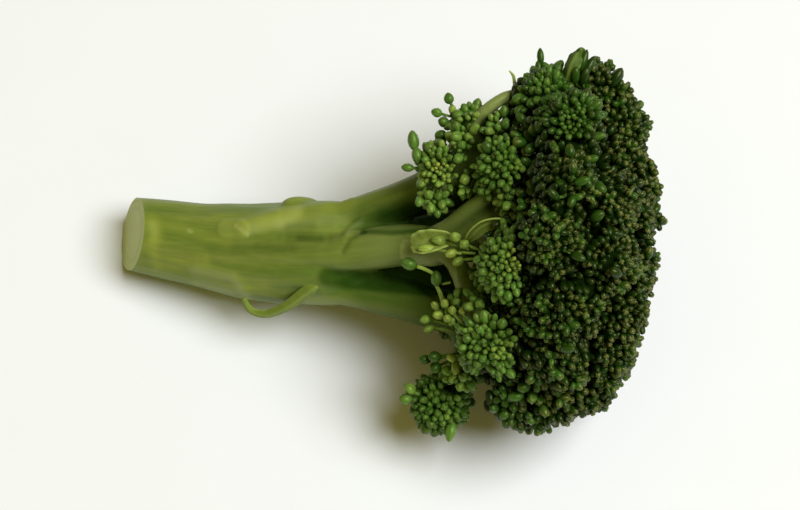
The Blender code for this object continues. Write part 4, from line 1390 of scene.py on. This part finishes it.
# %% Make the sprig
bm = bmesh.new()
bm.verts.layers.float_vector.new("place")
bm.verts.layers.float_vector.new("kind")
route = smooth_path(((11, -12.5, -2), (10, -9.5, 0), (9, -7.4, 1.2), (8.6, -5.0, 2.0), (6.4, -3.6, 2.6),
                     (4.2, -2.8, 2.9)), 3)
tube(bm, stations_on(route, (0.7, 0.5, 0.45, 0.5)), 8)
bm.transform(TO_FLOOR)
for f in bm.faces:
    f.smooth, f.material_index = True, 1
for at, towards, wide, long in (((2.2, -2.2, 3.0), (-1, 0.25, 0.2), 1.65, 2.1),
                                ((9.0, -5.8, 2.0), (-0.1, 1, 0.3), 1.5, 2.0)):
    put(bm, young_shape, Vector(at), Vector(towards).normalized(), wide, long, (0.5, 0.62, 0.0), 0.4)
put_stem(bm, Vector((10.4, -7.2, 1.2)), Vector((12.6, -6.8, 2.0)), 0.4, 0.1)
sprig = show("bud_sprig_with_buds", mesh_of(bm, "bud_sprig"), [bud_skin, stem_skin])
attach(sprig, "root")
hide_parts("bud_sprig")
print("faces in the sprig:", len(sprig.data.polygons))

# %% [markdown]
# ## Floor, light and camera
# The head lies on a plain sheet of warm white paper. One round soft lamp, almost 2 m
# across, stands 3 m away on the camera's side, up and to the right, so that shadows fall
# softly down and to the left. The sky fills them: a dim grey at the horizon, which is what a
# low camera sees behind the head, and darker and warmer above. The camera looks straight
# down the head's own z, from about 0.8 m, through a long lens.

# %% Floor
paper, tree, shader = new_material("matt paper, warm white")
fibre = add(tree, "TexNoise", {"Vector": add(tree, "TexCoord").outputs["Object"],
                               "Scale": MM / 30, "Detail": 3.0})
paper_tint = add(tree, "MixRGB", {"Fac": fibre.outputs["Fac"], "Color1": colour("#EBEBE7"),
                                  "Color2": colour("#EEEEEB")})
tree.links.new(paper_tint.outputs["Color"], shader.inputs["Base Color"])
shader.inputs["Roughness"].default_value = 0.9
bm = bmesh.new()
bmesh.ops.create_grid(bm, x_segments=8, y_segments=8, size=2.5)
floor = show("floor", mesh_of(bm, "floor"), [paper])
print("squares in the floor:", len(floor.data.polygons))

# %% Light
HORIZON, OVERHEAD = (0.47, 0.46, 0.40, 1), (0.22, 0.188, 0.045, 1)      # linear colours
LAMP_SIZE, LAMP_POWER, LAMP_AWAY = 1.94, 119.0, 3.0                     # metres and watts
world = bpy.data.worlds.new("studio")
bpy.context.scene.world = world
world.use_nodes = True
sky = world.node_tree
upward = add(sky, "SeparateXYZ", {0: add(sky, "TexCoord").outputs["Generated"]}).outputs["Z"]
climb = add(sky, "MapRange", {"Value": upward, "From Min": 0.0, "From Max": 0.3},
            interpolation_type="SMOOTHSTEP")
sky_tint = add(sky, "MixRGB", {"Fac": climb.outputs["Result"], "Color1": HORIZON, "Color2": OVERHEAD})
sky.links.new(sky_tint.outputs["Color"], sky.nodes["Background"].inputs["Color"])
key_way = (LYING.to_3x3() @ Vector((0.58, 0.31, 1))).normalized()
lamp = bpy.data.lights.new("key", "AREA")
lamp.shape, lamp.size, lamp.energy = "DISK", LAMP_SIZE, LAMP_POWER
lamp.color = (0.865, 0.905, 1.0)
key = bpy.data.objects.new("key", lamp)
key.location = key_way * LAMP_AWAY
key.rotation_mode = "QUATERNION"
key.rotation_quaternion = key_way.to_track_quat("Z", "Y")
bpy.context.scene.collection.objects.link(key)
bpy.context.scene.view_settings.view_transform = "Standard"
print("lamp at", [round(c, 2) for c in key.location])

# %% Camera
CAMERA_AWAY = 0.795
camera = bpy.data.objects.new("camera", bpy.data.cameras.new("camera"))
camera.data.lens, camera.data.sensor_width = 144, 36
camera.data.clip_start, camera.data.clip_end = 0.05, 20
upright = LYING.copy()
upright.translation = LYING.translation * 0.001
camera.matrix_world = upright @ Matrix.Translation((0, 0, CAMERA_AWAY))
bpy.context.scene.collection.objects.link(camera)
bpy.context.scene.camera = camera
print("camera at", [round(c, 3) for c in camera.location])
